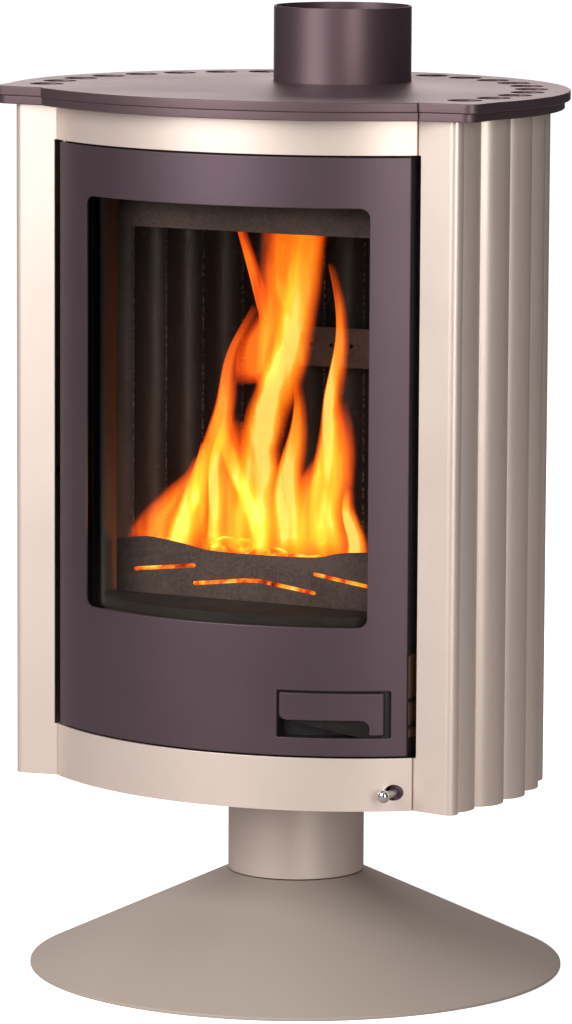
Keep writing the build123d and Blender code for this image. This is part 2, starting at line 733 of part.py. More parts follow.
ROPE_OUT, ROPE_IN = 182.0, 176.0
with BuildPart() as door_gasket:
    add(curved_plate(DOOR_BACK_R, FRAME_R + 0.3, -ROPE_OUT, ROPE_OUT, DOOR_FRAME_Z, 866))
    add(opening(-ROPE_IN, ROPE_IN, DOOR_FRAME_Z + 5.5, 860, 5), mode=Mode.SUBTRACT)
save(door_gasket, "door_gasket")

with BuildPart() as door_back_panel:
    add(curved_plate(DOOR_BACK_R + 2, DOOR_BACK_R, LOWER_BAY[0], DOOR_FRAME_HALF, LOWER_BAY[2], LOWER_BAY[3]))
    add(opening(173, 200, HOOK_Z0 - 6, HOOK_Z1 + 6), mode=Mode.SUBTRACT)
save(door_back_panel, "door_back_panel")

POCKET_T = 1.6
POCKET_BACK_R = 331.4
with BuildPart() as handle_pocket:
    add(
        curved_plate(
            SKIN_R - SKIN_T,
            POCKET_BACK_R - POCKET_T,
            RECESS_X0 - POCKET_T,
            RECESS_X1 + POCKET_T,
            RECESS_Z0 - POCKET_T,
            RECESS_Z1 + POCKET_T,
        )
    )
    add(
        curved_plate(SKIN_R, POCKET_BACK_R, RECESS_X0, RECESS_X1, RECESS_Z0, RECESS_Z1),
        mode=Mode.SUBTRACT,
    )
    add(opening(172, 200, HOOK_Z0 - 1.5, HOOK_Z1 + 1.5), mode=Mode.SUBTRACT)
    add(rod(HANDLE_X, HANDLE_Y, RECESS_Z0 - 10, RECESS_Z1 + 10, HANDLE_PIN_R), mode=Mode.SUBTRACT)
save(handle_pocket, "handle_pocket")

with BuildPart() as handle_pin:
    add(rod(HANDLE_X, HANDLE_Y, RECESS_Z0 - POCKET_T, RECESS_Z1 + POCKET_T, HANDLE_PIN_R))
save(handle_pin, "handle_pin")

LEAF_R = 6.5
LEAF_T = 4.0
with BuildPart() as hinge_leaves:
    for level in (DOOR_FRAME_Z - LEAF_T, DOOR_FRAME_TOP):
        with BuildSketch(Plane.XY.offset(level)):
            with Locations((HINGE_X, HINGE_Y)):
                Circle(LEAF_R)
            with Locations((HINGE_X + 13, HINGE_Y)):
                Rectangle(26, 2 * LEAF_R)
            with Locations((0, ARC_Y)):
                Circle(SKIN_R - SKIN_T - 0.1, mode=Mode.INTERSECT)
                Circle(DOOR_BACK_R, mode=Mode.SUBTRACT)
            with Locations((HINGE_X, HINGE_Y)):
                Circle(HINGE_PIN_R, mode=Mode.SUBTRACT)
        extrude(amount=LEAF_T)
save(hinge_leaves, "hinge_leaves")

HINGE_BRACKET_T = 4.0
TOP_BRACKET_Z = 905.0
BOTTOM_BRACKET_Z = 262.0
with BuildPart() as hinge_pins:
    add(rod(HINGE_X, HINGE_Y, DOOR_FRAME_TOP, TOP_BRACKET_Z + 7, HINGE_PIN_R))
    add(rod(HINGE_X, HINGE_Y, BOTTOM_BRACKET_Z - 3, DOOR_FRAME_Z, HINGE_PIN_R))
save(hinge_pins, "hinge_pins")

with BuildPart() as hinge_brackets:
    for level in (BOTTOM_BRACKET_Z, TOP_BRACKET_Z):
        with BuildSketch(Plane.XY.offset(level)):
            with Locations((HINGE_X + 5, HINGE_Y + 11)):
                Rectangle(24, 36)
            with Locations((0, ARC_Y)):
                Circle(SKIN_R - SKIN_T - 0.2, mode=Mode.INTERSECT)
                Circle(FRAME_R, mode=Mode.SUBTRACT)
            with Locations((HINGE_X, HINGE_Y)):
                Circle(HINGE_PIN_R + RUNNING, mode=Mode.SUBTRACT)
        extrude(amount=HINGE_BRACKET_T)
save(hinge_brackets, "hinge_brackets")

KEEPER_X, KEEPER_Y, KEEPER_R = 201.5, -148.0, 4.0
with BuildPart() as latch_keeper:
    add(rod(KEEPER_X, KEEPER_Y, 303, 328, KEEPER_R))
    for level in (300, 328):
        with BuildSketch(Plane.XY.offset(level)):
            with Locations((203, -135.5)):
                Rectangle(9, 31)
            with Locations((0, ARC_Y)):
                Circle(FRAME_R, mode=Mode.SUBTRACT)
        extrude(amount=3)
save(latch_keeper, "latch_keeper")

# ---- handle -------------------------------------------------------------------------

LEVER_R = SKIN_R - SKIN_T - 0.5
LEG_X = 174.5
GRIP_Z = 309.4
with BuildPart() as handle_lever:
    add(curved_plate(SKIN_R, LEVER_R, LEVER_X0, LEVER_X1, LEVER_Z0, LEVER_Z1))
    with BuildSketch(Plane.XZ.offset(100)):
        with BuildLine():
            Line((LEVER_X0 - 5, LEVER_Z1 + 5), (LEVER_X1 + 5, LEVER_Z1 + 5))
            Line((LEVER_X1 + 5, LEVER_Z1 + 5), (LEVER_X1 + 5, LEVER_Z0 - 5))
            Line((LEVER_X1 + 5, LEVER_Z0 - 5), (LEG_X, LEVER_Z0 - 5))
            Line((LEG_X, LEVER_Z0 - 5), (LEG_X, GRIP_Z - 8))
            RadiusArc((LEG_X, GRIP_Z - 8), (LEG_X - 8, GRIP_Z), -8)
            Line((LEG_X - 8, GRIP_Z), (LEVER_X0 + 8, GRIP_Z))
            RadiusArc((LEVER_X0 + 8, GRIP_Z), (LEVER_X0, GRIP_Z + 8), 8)
            Line((LEVER_X0, GRIP_Z + 8), (LEVER_X0 - 5, GRIP_Z + 8))
            Line((LEVER_X0 - 5, GRIP_Z + 8), (LEVER_X0 - 5, LEVER_Z1 + 5))
        make_face()
    extrude(amount=150, mode=Mode.INTERSECT)
    with BuildSketch(Plane.XY.offset(LEVER_Z0)):
        with Locations((HANDLE_X, HANDLE_Y)):
            Circle(KNUCKLE_R)
        with Locations((HANDLE_X - 3, HANDLE_Y - 5)):
            Rectangle(6, 8)
        with Locations((0, ARC_Y)):
            Circle(LEVER_R, mode=Mode.INTERSECT)
    extrude(amount=LEVER_Z1 - LEVER_Z0)
    add(box(170, 200, HANDLE_Y - 6.9, HANDLE_Y + 12, HOOK_Z0, HOOK_Z1), mode=Mode.SUBTRACT)
    add(rod(HANDLE_X, HANDLE_Y, LEVER_Z0 - 1, LEVER_Z1 + 1, HANDLE_PIN_R + RUNNING), mode=Mode.SUBTRACT)
save(handle_lever, "handle_lever")

HOOK_ANGLE = 68.0
HOOK_LENGTH = 16.0
with BuildPart() as latch_hook:
    with BuildSketch(Plane.XY.offset(HOOK_Z0)):
        with Locations((HANDLE_X, HANDLE_Y)):
            Circle(KNUCKLE_R)
            Rectangle(HOOK_LENGTH, 7, rotation=HOOK_ANGLE, align=(Align.MIN, Align.CENTER))
            Circle(HANDLE_PIN_R + RUNNING, mode=Mode.SUBTRACT)
        with Locations((0, ARC_Y)):
            Circle(LEVER_R, mode=Mode.INTERSECT)
    extrude(amount=HOOK_Z1 - HOOK_Z0)
save(latch_hook, "latch_hook")
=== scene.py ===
import json
import math
import random

import bmesh
import bpy
from mathutils import Matrix, Vector
from mathutils.geometry import tessellate_polygon

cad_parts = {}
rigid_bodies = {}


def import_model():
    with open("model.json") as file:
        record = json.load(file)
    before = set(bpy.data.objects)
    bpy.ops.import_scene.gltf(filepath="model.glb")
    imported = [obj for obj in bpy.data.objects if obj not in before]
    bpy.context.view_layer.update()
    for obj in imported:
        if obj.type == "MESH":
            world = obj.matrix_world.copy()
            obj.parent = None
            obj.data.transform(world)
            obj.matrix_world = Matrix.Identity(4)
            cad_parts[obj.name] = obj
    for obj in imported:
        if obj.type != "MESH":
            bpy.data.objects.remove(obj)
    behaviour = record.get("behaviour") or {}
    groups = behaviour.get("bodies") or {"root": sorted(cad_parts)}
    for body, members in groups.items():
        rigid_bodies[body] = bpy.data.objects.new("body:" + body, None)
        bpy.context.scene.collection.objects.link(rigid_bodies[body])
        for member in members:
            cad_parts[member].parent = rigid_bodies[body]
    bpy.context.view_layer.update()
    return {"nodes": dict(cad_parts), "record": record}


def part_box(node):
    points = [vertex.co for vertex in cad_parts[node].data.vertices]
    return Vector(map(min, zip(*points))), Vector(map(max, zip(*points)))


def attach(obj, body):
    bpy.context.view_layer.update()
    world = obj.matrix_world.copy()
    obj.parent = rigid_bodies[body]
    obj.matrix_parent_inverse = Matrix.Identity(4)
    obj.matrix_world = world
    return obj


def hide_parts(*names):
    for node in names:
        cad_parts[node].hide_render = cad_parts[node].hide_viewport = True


# The looks of a round wood burning stove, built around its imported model.
# Shapes are given in millimetres and become metres when a mesh is made.

for leftover in list(bpy.data.objects):
    bpy.data.objects.remove(leftover)
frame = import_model()

MM = 0.001
ROUND_STEPS = 3
SHARP = math.radians(32)


def node_box(node):
    """The node's box in millimetres: (x0, y0, z0), (x1, y1, z1)."""
    low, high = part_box(node)
    return [value / MM for value in low], [value / MM for value in high]


# ---- dimensions ---------------------------------------------------------------------

BARREL_Y = -32.0
ARC_Y = 125.0
SKIN_R, SKIN_T = 349.0, 3.0
SPACER_R = 340.0
DOOR_BACK_R, FRAME_R = 327.0, 323.0
PITCH = 11.0
END_LOBE = 10.25
SEAM = 0.02
CLAD_VALLEY, CLAD_CREST, CLAD_T = 269.5, 281.5, 2.0
SHELL_VALLEY, SHELL_CREST, SHELL_T = 241.0, 251.0, 3.0
SHELL_END = 9.35
FLUE_Y = 101.0

(_, _, BODY_Z), (_, _, BODY_TOP) = node_box("rear_cladding")
(_, _, LOWER_FASCIA_Z), (FASCIA_HALF, _, LOWER_FASCIA_TOP) = node_box("bottom_fascia")
(_, _, UPPER_FASCIA_Z), (_, _, UPPER_FASCIA_TOP) = node_box("top_fascia")
(_, _, UNDER_Z), (_, _, UNDER_TOP) = node_box("under_plate")
(_, _, PLATE_Z), (_, _, PLATE_TOP) = node_box("top_plate")
(_, _, COLLAR_Z), (_, _, COLLAR_TOP) = node_box("flue_collar")
(_, _, DOOR_Z), (DOOR_HALF, _, DOOR_TOP) = node_box("door_skin")
(_, _, FRAME_Z), (FRAME_HALF, _, FRAME_TOP) = node_box("door_frame")
(_, _, NECK_Z), (NECK_R, _, NECK_TOP) = node_box("pedestal_neck")
_, (FOOT_R, _, CONE_TOP) = node_box("pedestal_cone")
(_, _, SHELL_Z), (_, _, SHELL_TOP) = node_box("firebox_shell")
(_, SCREEN_Y, _), _ = node_box("log_retainer")
(GLASS_X0, _, GLASS_Z0), (GLASS_X1, _, GLASS_Z1) = node_box("glass_pane")
(LEVER_X0, _, LEVER_Z0), (_, _, LEVER_Z1) = node_box("handle_lever")
(_, KNOB_TIP_Y, KNOB_Z0), (_, KNOB_Y, KNOB_Z1) = node_box("air_knob")

# Openings are x0, x1, z0, z1.
WINDOW = (-159.0, 172.0, 408.0, 847.0)
WINDOW_CORNER = 10.0
RECESS = (84.4, 194.0, 291.0, 341.0)
LOWER_BAY = (-184.0, 205.0, 289.0, 376.0)
LEVER_X1, LEG_X, GRIP_Z = 187.6, 174.5, 309.4
HANDLE_X, HANDLE_Y, KNUCKLE_R, PIN_R = 187.0, -158.5, 6.5, 3.06
HOOK_Z0, HOOK_Z1 = 313.0, 318.0
AIR_X, AIR_Z = 197.0, (KNOB_Z0 + KNOB_Z1) / 2
BUSH_R, ROD_R = 8.5, 4.06

# ---- camera, lights and floor -------------------------------------------------------

CAMERA_AT = Vector((2.789, -5.497, 1.373))
CAMERA_AIM = Vector((-0.0115, -0.0058, 0.4966))
CAMERA_LENS, SENSOR = 202.13, 36.0
CAMERA_ROLL = math.radians(0.31)
LIGHT_AIM = Vector((0.0, -0.05, 0.6))


def pointing(place, target):
    """The rotation of a camera or light at place that looks at target."""
    return (target - place).to_track_quat("-Z", "Y").to_matrix().to_4x4()


camera_data = bpy.data.cameras.new("camera")
camera_data.lens = CAMERA_LENS
camera_data.sensor_fit = "VERTICAL"
camera_data.sensor_height = SENSOR
camera_data.clip_end = 100
camera = bpy.data.objects.new("camera", camera_data)
camera.matrix_world = (
    Matrix.Translation(CAMERA_AT)
    @ pointing(CAMERA_AT, CAMERA_AIM)
    @ Matrix.Rotation(CAMERA_ROLL, 4, "Z")
)
bpy.context.collection.objects.link(camera)
bpy.context.scene.camera = camera
bpy.context.scene.view_settings.view_transform = "Standard"


def lamp(name, kind, place, target, energy, colour, **settings):
    """A light that the camera doesn't see."""
    data = bpy.data.lights.new(name, kind)
    data.energy = energy
    data.color = colour
    for key, value in settings.items():
        setattr(data, key, value)
    light = bpy.data.objects.new(name, data)
    light.matrix_world = Matrix.Translation(place) @ pointing(place, target)
    light.visible_camera = False
    bpy.context.collection.objects.link(light)
    return light


def softbox(name, azimuth, elevation, distance, width, height, energy, colour=(1, 1, 1)):
    """A large soft light, placed round the stove by its angles from the front."""
    a, e = math.radians(azimuth), math.radians(elevation)
    direction = Vector((math.sin(a) * math.cos(e), -math.cos(a) * math.cos(e), math.sin(e)))
    settings = {"shape": "RECTANGLE", "size": width, "size_y": height}
    place = LIGHT_AIM + direction * distance
    return lamp(name, "AREA", place, LIGHT_AIM, energy, colour, **settings)


softbox("key", -21, 25, 3.4, 2.1, 2.4, 110)
softbox("fill", 46, 14, 3.8, 1.3, 2.6, 54, (1.0, 0.99, 0.97))
softbox("overhead", 20, 78, 3.0, 2.2, 2.2, 12)
softbox("backdrop_glow", 207, 14, 4.2, 2.6, 2.0, 40, (1.0, 0.84, 0.83))

world = bpy.data.worlds.new("studio")
world.use_nodes = True
bpy.context.scene.world = world
world_nodes = world.node_tree.nodes
world_links = world.node_tree.links
seen = world_nodes.new("ShaderNodeBackground")
seen.inputs["Color"].default_value = (1, 1, 1, 1)
ambient = world_nodes["Background"]
ambient.inputs["Color"].default_value = (0.93, 0.94, 1.0, 1)
ambient.inputs["Strength"].default_value = 0.10
world_path = world_nodes.new("ShaderNodeLightPath")
world_mix = world_nodes.new("ShaderNodeMixShader")
world_links.new(world_path.outputs["Is Camera Ray"], world_mix.inputs[0])
world_links.new(ambient.outputs[0], world_mix.inputs[1])
world_links.new(seen.outputs[0], world_mix.inputs[2])
world_links.new(world_mix.outputs[0], world_nodes["World Output"].inputs["Surface"])

# ---- materials ----------------------------------------------------------------------


def srgb(red, green, blue):
    """A linear colour from its screen values of 0 to 255."""
    parts = [value / 255 for value in (red, green, blue)]
    linear = [p / 12.92 if p <= 0.04045 else ((p + 0.055) / 1.055) ** 2.4 for p in parts]
    return (*linear, 1.0)


class Shading:
    """The node tree of one material, with short calls that add and join nodes."""

    def __init__(self, name, **constants):
        self.material = bpy.data.materials.new(name)
        self.material.use_nodes = True
        self.tree = self.material.node_tree
        self.shader = self.tree.nodes["Principled BSDF"]
        for socket, value in constants.items():
            self.shader.inputs[socket.replace("_", " ")].default_value = value
        self.place = self.node("ShaderNodeTexCoord").outputs["Object"]

    def node(self, kind, sockets=None, **settings):
        """A new node. Sockets gives its inputs, each a number, a colour or another's output."""
        made = self.tree.nodes.new(kind)
        for key, value in settings.items():
            setattr(made, key, value)
        for key, value in (sockets or {}).items():
            self.join(value, made.inputs[key])
        return made

    def join(self, value, socket):
        if isinstance(value, bpy.types.NodeSocket):
            self.tree.links.new(value, socket)
        else:
            socket.default_value = value

    def noise(self, scale, detail=3.0, stretch=None, rough=0.55):
        place = self.place
        if stretch:
            place = self.node("ShaderNodeMapping", {"Vector": place, "Scale": stretch}).outputs[0]
        sockets = {"Vector": place, "Scale": scale, "Detail": detail, "Roughness": rough}
        return self.node("ShaderNodeTexNoise", sockets).outputs["Fac"]

    def maths(self, operation, a, b=0.0, c=0.0, clamp=False):
        made = self.node("ShaderNodeMath", {0: a, 1: b, 2: c}, operation=operation)
        made.use_clamp = clamp
        return made.outputs[0]

    def ramp(self, factor, *stops):
        made = self.node("ShaderNodeValToRGB", {"Fac": factor})
        elements = made.color_ramp.elements
        while len(elements) < len(stops):
            elements.new(0.5)
        for element, (position, colour) in zip(elements, stops):
            element.position = position
            element.color = colour
        return made.outputs["Color"]

    def spread(self, value, low, high, start=0.0, end=1.0):
        """The value's range from start to end, stretched to run from low to high."""
        sockets = {"Value": value, "From Min": start, "From Max": end}
        sockets.update({"To Min": low, "To Max": high})
        return self.node("ShaderNodeMapRange", sockets).outputs["Result"]

    def blend(self, factor, first, second):
        sockets = {0: factor, 6: first, 7: second}
        return self.node("ShaderNodeMix", sockets, data_type="RGBA").outputs[2]

    def bump(self, height, strength, distance):
        sockets = {"Height": height, "Strength": strength, "Distance": distance}
        return self.node("ShaderNodeBump", sockets).outputs["Normal"]

    def finish(self, colour=None, roughness=None, normal=None):
        for value, socket in ((colour, "Base Color"), (roughness, "Roughness"), (normal, "Normal")):
            if value is not None:
                self.join(value, self.shader.inputs[socket])
        return self.material

    def coordinate(self, axis):
        return self.node("ShaderNodeSeparateXYZ", {"Vector": self.place}).outputs[axis]

    def mixed(self, factor, first, second):
        sockets = {0: factor, 1: first.outputs[0], 2: second.outputs[0]}
        return self.node("ShaderNodeMixShader", sockets)

    def added(self, first, second):
        return self.node("ShaderNodeAddShader", {0: first.outputs[0], 1: second.outputs[0]})

    def show(self, surface):
        """Makes a shader the material's surface, and drops the first shader if it isn't used."""
        self.join(surface.outputs[0], self.tree.nodes["Material Output"].inputs["Surface"])
        if not self.shader.outputs[0].is_linked:
            self.tree.nodes.remove(self.shader)
        return self.material


def powder_coat(name, dark, light, roughness, metallic, texture, fleck=0.0):
    """Sprayed paint: two close tones, an orange-peel skin and fine metal flecks."""
    s = Shading(name, Metallic=metallic, Specular_IOR_Level=0.5)
    cloud = s.noise(5.0, 3.0)
    grain = s.noise(950.0, 2.0)
    peel = s.noise(420.0, 2.0)
    tones = s.maths("MULTIPLY_ADD", grain, 0.5, s.maths("MULTIPLY", cloud, 0.5))
    colour = s.blend(tones, dark, light)
    if fleck:
        cells = s.node("ShaderNodeTexVoronoi", {"Vector": s.place, "Scale": 2500.0})
        spark = s.maths("GREATER_THAN", cells.outputs["Color"], 0.86)
        brighter = tuple(min(1.0, part * 1.35) for part in light[:3]) + (1.0,)
        colour = s.blend(s.maths("MULTIPLY", spark, fleck), colour, brighter)
    rough = s.spread(s.maths("ADD", grain, cloud), roughness - 0.07, roughness + 0.07, 0.6, 1.4)
    skin = s.maths("MULTIPLY_ADD", peel, 0.6, s.maths("MULTIPLY", grain, 0.4))
    return s.finish(colour, rough, s.bump(skin, texture, 0.0004))


# How narrow the lines along the flute joints are, and how high their beaded bump is; their lighter
# grey is painted highlight on the ridges.
RIDGE_HIGHLIGHT_NARROWNESS, WELD_HEIGHT = 26.0, 3.0


def sooty_steel(name, paint, soot_and_shade, ash, roughness, ridges=False):
    """Heat-proof paint with soot and pale ash; with ridges, a beaded lighter line along each flute
    joint, whose lighter grey is painted highlight on the ridges.
    """
    s = Shading(name, Specular_IOR_Level=0.45)
    patches = s.spread(s.noise(7.0, 6.0, (1, 1, 0.45)), 0.0, 1.0, 0.38, 0.66)
    dust = s.spread(s.noise(160.0, 5.0), 0.0, 1.0, 0.55, 0.75)
    grain = s.noise(600.0, 3.0)
    colour = s.blend(patches, paint, soot_and_shade)
    colour = s.blend(s.maths("MULTIPLY", dust, 0.35), colour, ash)
    height = s.maths("MULTIPLY_ADD", dust, 0.5, grain)
    if ridges:
        depth = s.maths("SUBTRACT", s.coordinate("Y"), BARREL_Y * MM)
        turn = s.maths("DEGREES", s.maths("ARCTAN2", s.coordinate("X"), depth))
        share = s.maths("FRACT", s.maths("ADD", s.maths("DIVIDE", turn, PITCH), 20.0))
        off_joint = s.maths("ABSOLUTE", s.maths("SUBTRACT", share, 0.5))
        # A line along each flute joint: its lighter grey is painted highlight on the ridges, its
        # beads are a bump.
        near = s.maths("SUBTRACT", 1.0, s.maths("MULTIPLY", off_joint, RIDGE_HIGHLIGHT_NARROWNESS))
        beads = s.spread(s.noise(330.0, 2.0), 0.0, 1.0, 0.5, 0.62)
        weld = s.maths("MULTIPLY", s.maths("MAXIMUM", near, 0.0), beads, clamp=True)
        colour = s.blend(weld, colour, srgb(150, 148, 148))
        height = s.maths("ADD", height, s.maths("MULTIPLY", weld, WELD_HEIGHT))
    rough = s.spread(patches, roughness - 0.08, roughness + 0.12)
    return s.finish(colour, rough, s.bump(height, 0.35, 0.0006))


# Near black: the painted shadow that the door's top edge casts on the iron at the top of the fire
# chamber.
PAINTED_SHADOW = srgb(14, 12, 13)
# Heights in metres where the painted shadow on the iron begins and where it is darkest.
PAINTED_SHADOW_LINE = (0.824, 0.848)


def cast_metal(name, dark, light, roughness):
    """Sand-cast iron with its pitted skin and a film of ash, and a painted shadow that darkens its
    top.
    """
    s = Shading(name, Specular_IOR_Level=0.4, Metallic=0.25)
    pits = s.noise(420.0, 5.0)
    cloud = s.noise(14.0, 4.0)
    colour = s.blend(s.spread(s.maths("ADD", pits, cloud), 0.0, 1.0, 0.8, 1.2), dark, light)
    # Painted shadow: darker towards the top, the shade under the door's top edge.
    soot_and_shade = s.spread(s.coordinate("Z"), 0.0, 0.8, *PAINTED_SHADOW_LINE)
    colour = s.blend(soot_and_shade, colour, PAINTED_SHADOW)
    rough = s.spread(cloud, roughness - 0.1, roughness + 0.1)
    return s.finish(colour, rough, s.bump(pits, 0.4, 0.0006))


def plated(name, tone, dark, roughness, brush):
    """Plated steel, brushed along its length or polished, with faint handling marks."""
    s = Shading(name, Metallic=1.0)
    strokes = s.noise(900.0, 2.0, (1, 1, brush))
    smears = s.noise(60.0, 4.0)
    colour = s.blend(s.spread(smears, 0.0, 1.0, 0.4, 0.7), tone, dark)
    rough = s.spread(s.maths("ADD", strokes, smears), roughness * 0.7, roughness * 1.4, 0.7, 1.3)
    return s.finish(colour, rough, s.bump(strokes, 0.06, 0.0002))


def woven_rope(name, dark, light):
    """Braided glass fibre: small crossing strands."""
    s = Shading(name, Sheen_Weight=0.3)
    waves = []
    for angle in (38, -38):
        sockets = {"Vector": s.place, "Rotation": (0, math.radians(angle), 0)}
        strand = s.node("ShaderNodeMapping", sockets).outputs[0]
        sockets = {"Vector": strand, "Scale": 260.0, "Distortion": 1.2, "Detail": 1.0}
        waves.append(s.node("ShaderNodeTexWave", sockets).outputs["Fac"])
    strands = s.maths("MAXIMUM", *waves)
    fuzz = s.noise(1800.0, 3.0)
    colour = s.blend(s.maths("MULTIPLY", strands, fuzz), dark, light)
    rough = s.spread(fuzz, 0.8, 0.98)
    return s.finish(colour, rough, s.bump(s.maths("ADD", strands, fuzz), 0.5, 0.0008))


# Heights over the bottom edge of the glass where its film of soot thins and ends.
FILM_HEIGHTS = (18, 95)


def ceramic_glass(name):
    """A clear pane: it lets everything through but for its reflections and a film of soot."""
    s = Shading(name)
    clear = s.node("ShaderNodeBsdfTransparent", {"Color": (0.93, 0.92, 0.90, 1)})
    ripple = s.spread(s.noise(18.0, 3.0), 0.015, 0.06)
    gloss = s.node("ShaderNodeBsdfGlossy", {"Color": (0.3, 0.3, 0.31, 1), "Roughness": ripple})
    fresnel = s.node("ShaderNodeFresnel", {"IOR": 1.25})
    pane = s.mixed(fresnel.outputs[0], clear, gloss)
    film = s.node("ShaderNodeBsdfDiffuse", {"Color": srgb(70, 58, 52)})
    film_full, film_gone = ((GLASS_Z0 + up) * MM for up in FILM_HEIGHTS)
    low = s.spread(s.coordinate("Z"), 0.06, 0.0, film_full, film_gone)
    patches = s.spread(s.noise(26.0, 5.0), 0.0, 1.0, 0.35, 0.7)
    haze = s.maths("MULTIPLY", low, patches, clamp=True)
    return s.show(s.mixed(haze, pane, film))


PAINTS = {
    # dark tone, light tone, roughness, metallic, texture, fleck
    "casing_paint": (srgb(222, 204, 193), srgb(238, 220, 209), 0.38, 0.55, 0.10, 0.15),
    "neck_paint": (srgb(214, 197, 187), srgb(227, 210, 199), 0.42, 0.45, 0.10, 0.15),
    "foot_paint": (srgb(178, 162, 150), srgb(196, 180, 168), 0.60, 0.15, 0.35),
    "door_paint": (srgb(86, 70, 77), srgb(99, 82, 90), 0.40, 0.70, 0.12),
    "plate_paint": (srgb(98, 79, 84), srgb(112, 92, 98), 0.44, 0.70, 0.14),
}
MATERIALS = {name: powder_coat(name, *look) for name, look in PAINTS.items()}
MATERIALS["firebox_steel"] = sooty_steel(
    "firebox_steel", srgb(50, 41, 39), srgb(28, 23, 22), srgb(86, 78, 72), 0.52
)
MATERIALS["cast_iron"] = cast_metal("cast_iron", srgb(72, 58, 56), srgb(102, 85, 81), 0.55)
MATERIALS["zinc_steel"] = plated("zinc_steel", srgb(196, 196, 198), srgb(160, 160, 164), 0.32, 0.05)
MATERIALS["chrome"] = plated("chrome", srgb(232, 230, 228), srgb(205, 203, 202), 0.10, 1.0)
MATERIALS["glass"] = ceramic_glass("glass")
MATERIALS["rope"] = woven_rope("rope", srgb(22, 20, 20), srgb(66, 62, 60))
# Lighter and warmer than the firebox steel: painted firelight on the window reveals and on the back
# frame of the door.
FIRELIT_STEEL = sooty_steel(
    "browned_steel", srgb(142, 104, 84), srgb(96, 68, 55), srgb(150, 126, 108), 0.6
)
# Near black, far darker than the door paint: painted shade inside the recess of the handle.
POCKET_SHADE = sooty_steel(
    "pocket_steel", srgb(28, 21, 26), srgb(16, 12, 15), srgb(40, 34, 36), 0.55
)
SHELL_MATERIAL = sooty_steel(
    "fluted_firebox", srgb(52, 47, 52), srgb(26, 23, 26), srgb(100, 97, 99), 0.44, ridges=True
)

# ---- shape tools --------------------------------------------------------------------


def steps(start, end, count):
    """Evenly spaced values, both ends included."""
    return [start + (end - start) * index / count for index in range(count + 1)]


def arc_depth(radius, x):
    """Y of the front arc of this radius at this x."""
    return ARC_Y - math.sqrt(radius**2 - x**2)


def polar(radius, degrees):
    """A point at an angle from the rear of the stove, about the axis of the barrel."""
    angle = math.radians(degrees)
    return (radius * math.sin(angle), BARREL_Y + radius * math.cos(angle))


def circle(x, y, radius, count):
    """A round outline."""
    turns = [math.tau * index / count for index in range(count)]
    return [(x + radius * math.cos(turn), y + radius * math.sin(turn)) for turn in turns]


def rounded(points, radii, count=7, closed=True):
    """A path with its corners rounded. Radii is one number or one for each corner."""
    if not isinstance(radii, (list, tuple)):
        radii = [radii] * len(points)
    path = []
    for index, (point, radius) in enumerate(zip(points, radii)):
        here = Vector(point)
        before = Vector(points[index - 1])
        after = Vector(points[(index + 1) % len(points)])
        at_end = not closed and index in (0, len(points) - 1)
        if radius <= 0 or at_end:
            path.append(tuple(here))
            continue
        back, ahead = (before - here).normalized(), (after - here).normalized()
        half = back.angle(ahead) / 2
        start = here + back * radius / math.tan(half)
        centre = here + (back + ahead).normalized() * radius / math.sin(half)
        end = here + ahead * radius / math.tan(half)
        first = start - centre
        sweep = first.angle_signed(end - centre)
        for share in steps(0, 1, count):
            turn = -sweep * share
            spot = Vector(
                (
                    first.x * math.cos(turn) - first.y * math.sin(turn),
                    first.x * math.sin(turn) + first.y * math.cos(turn),
                )
            )
            path.append(tuple(centre + spot))
    return path


def rounded_box(x0, x1, z0, z1, radius):
    """A rectangle with rounded corners."""
    return rounded([(x0, z0), (x1, z0), (x1, z1), (x0, z1)], radius)


def area(loop):
    """The signed area of an outline, positive when it runs anticlockwise."""
    return sum(a[0] * b[1] - b[0] * a[1] for a, b in zip(loop, loop[1:] + loop[:1])) / 2


SHARPEST_TURN = 0.35


def inset(loop, distance):
    """An outline moved to its left by a distance, point by point."""
    moved = []
    for index, here in enumerate(loop):
        before, after = loop[index - 1], loop[(index + 1) % len(loop)]
        a, b = (here - before).normalized(), (after - here).normalized()
        left = Vector((-a.y - b.y, a.x + b.x)).normalized()
        moved.append(here + left * distance / max(SHARPEST_TURN, left.dot(Vector((-a.y, a.x)))))
    return moved


def sheet(loops, depth, place, cuts=(), edge=0.6, back_edge=0.3):
    """A plate with rounded edges, from its outline and holes. Place bends it to shape."""
    loops = [
        loop if (area(loop) > 0) == (index == 0) else loop[::-1]
        for index, loop in enumerate(loops)
    ]
    quarter = steps(0, math.pi / 2, ROUND_STEPS)
    levels = [(edge * (1 - math.sin(t)), edge * (1 - math.cos(t))) for t in reversed(quarter)]
    levels += [
        (depth - back_edge * (1 - math.sin(t)), back_edge * (1 - math.cos(t))) for t in quarter
    ]
    made = bmesh.new()
    walls = []
    for loop in loops:
        loop = [Vector(point) for point in loop]
        wall = [
            [made.verts.new((*spot, down)) for spot in inset(loop, inward)]
            for down, inward in levels
        ]
        for upper, lower in zip(wall, wall[1:]):
            for index in range(len(loop)):
                other = (index + 1) % len(loop)
                made.faces.new((upper[index], upper[other], lower[other], lower[index]))
        walls.append(wall)
    for level in (0, -1):
        corners = [corner for wall in walls for corner in wall[level]]
        rims = [[corner.co for corner in wall[level]] for wall in walls]
        for triangle in tessellate_polygon(rims):
            if len(set(triangle)) == 3:
                made.faces.new([corners[index] for index in triangle])
    for cut in cuts:
        everything = made.verts[:] + made.edges[:] + made.faces[:]
        bmesh.ops.bisect_plane(
            made, geom=everything, dist=1e-4, plane_co=(cut, 0, 0), plane_no=(1, 0, 0)
        )
    for corner in made.verts:
        corner.co = Vector(place(*corner.co)) * MM
    bmesh.ops.recalc_face_normals(made, faces=made.faces)
    return made


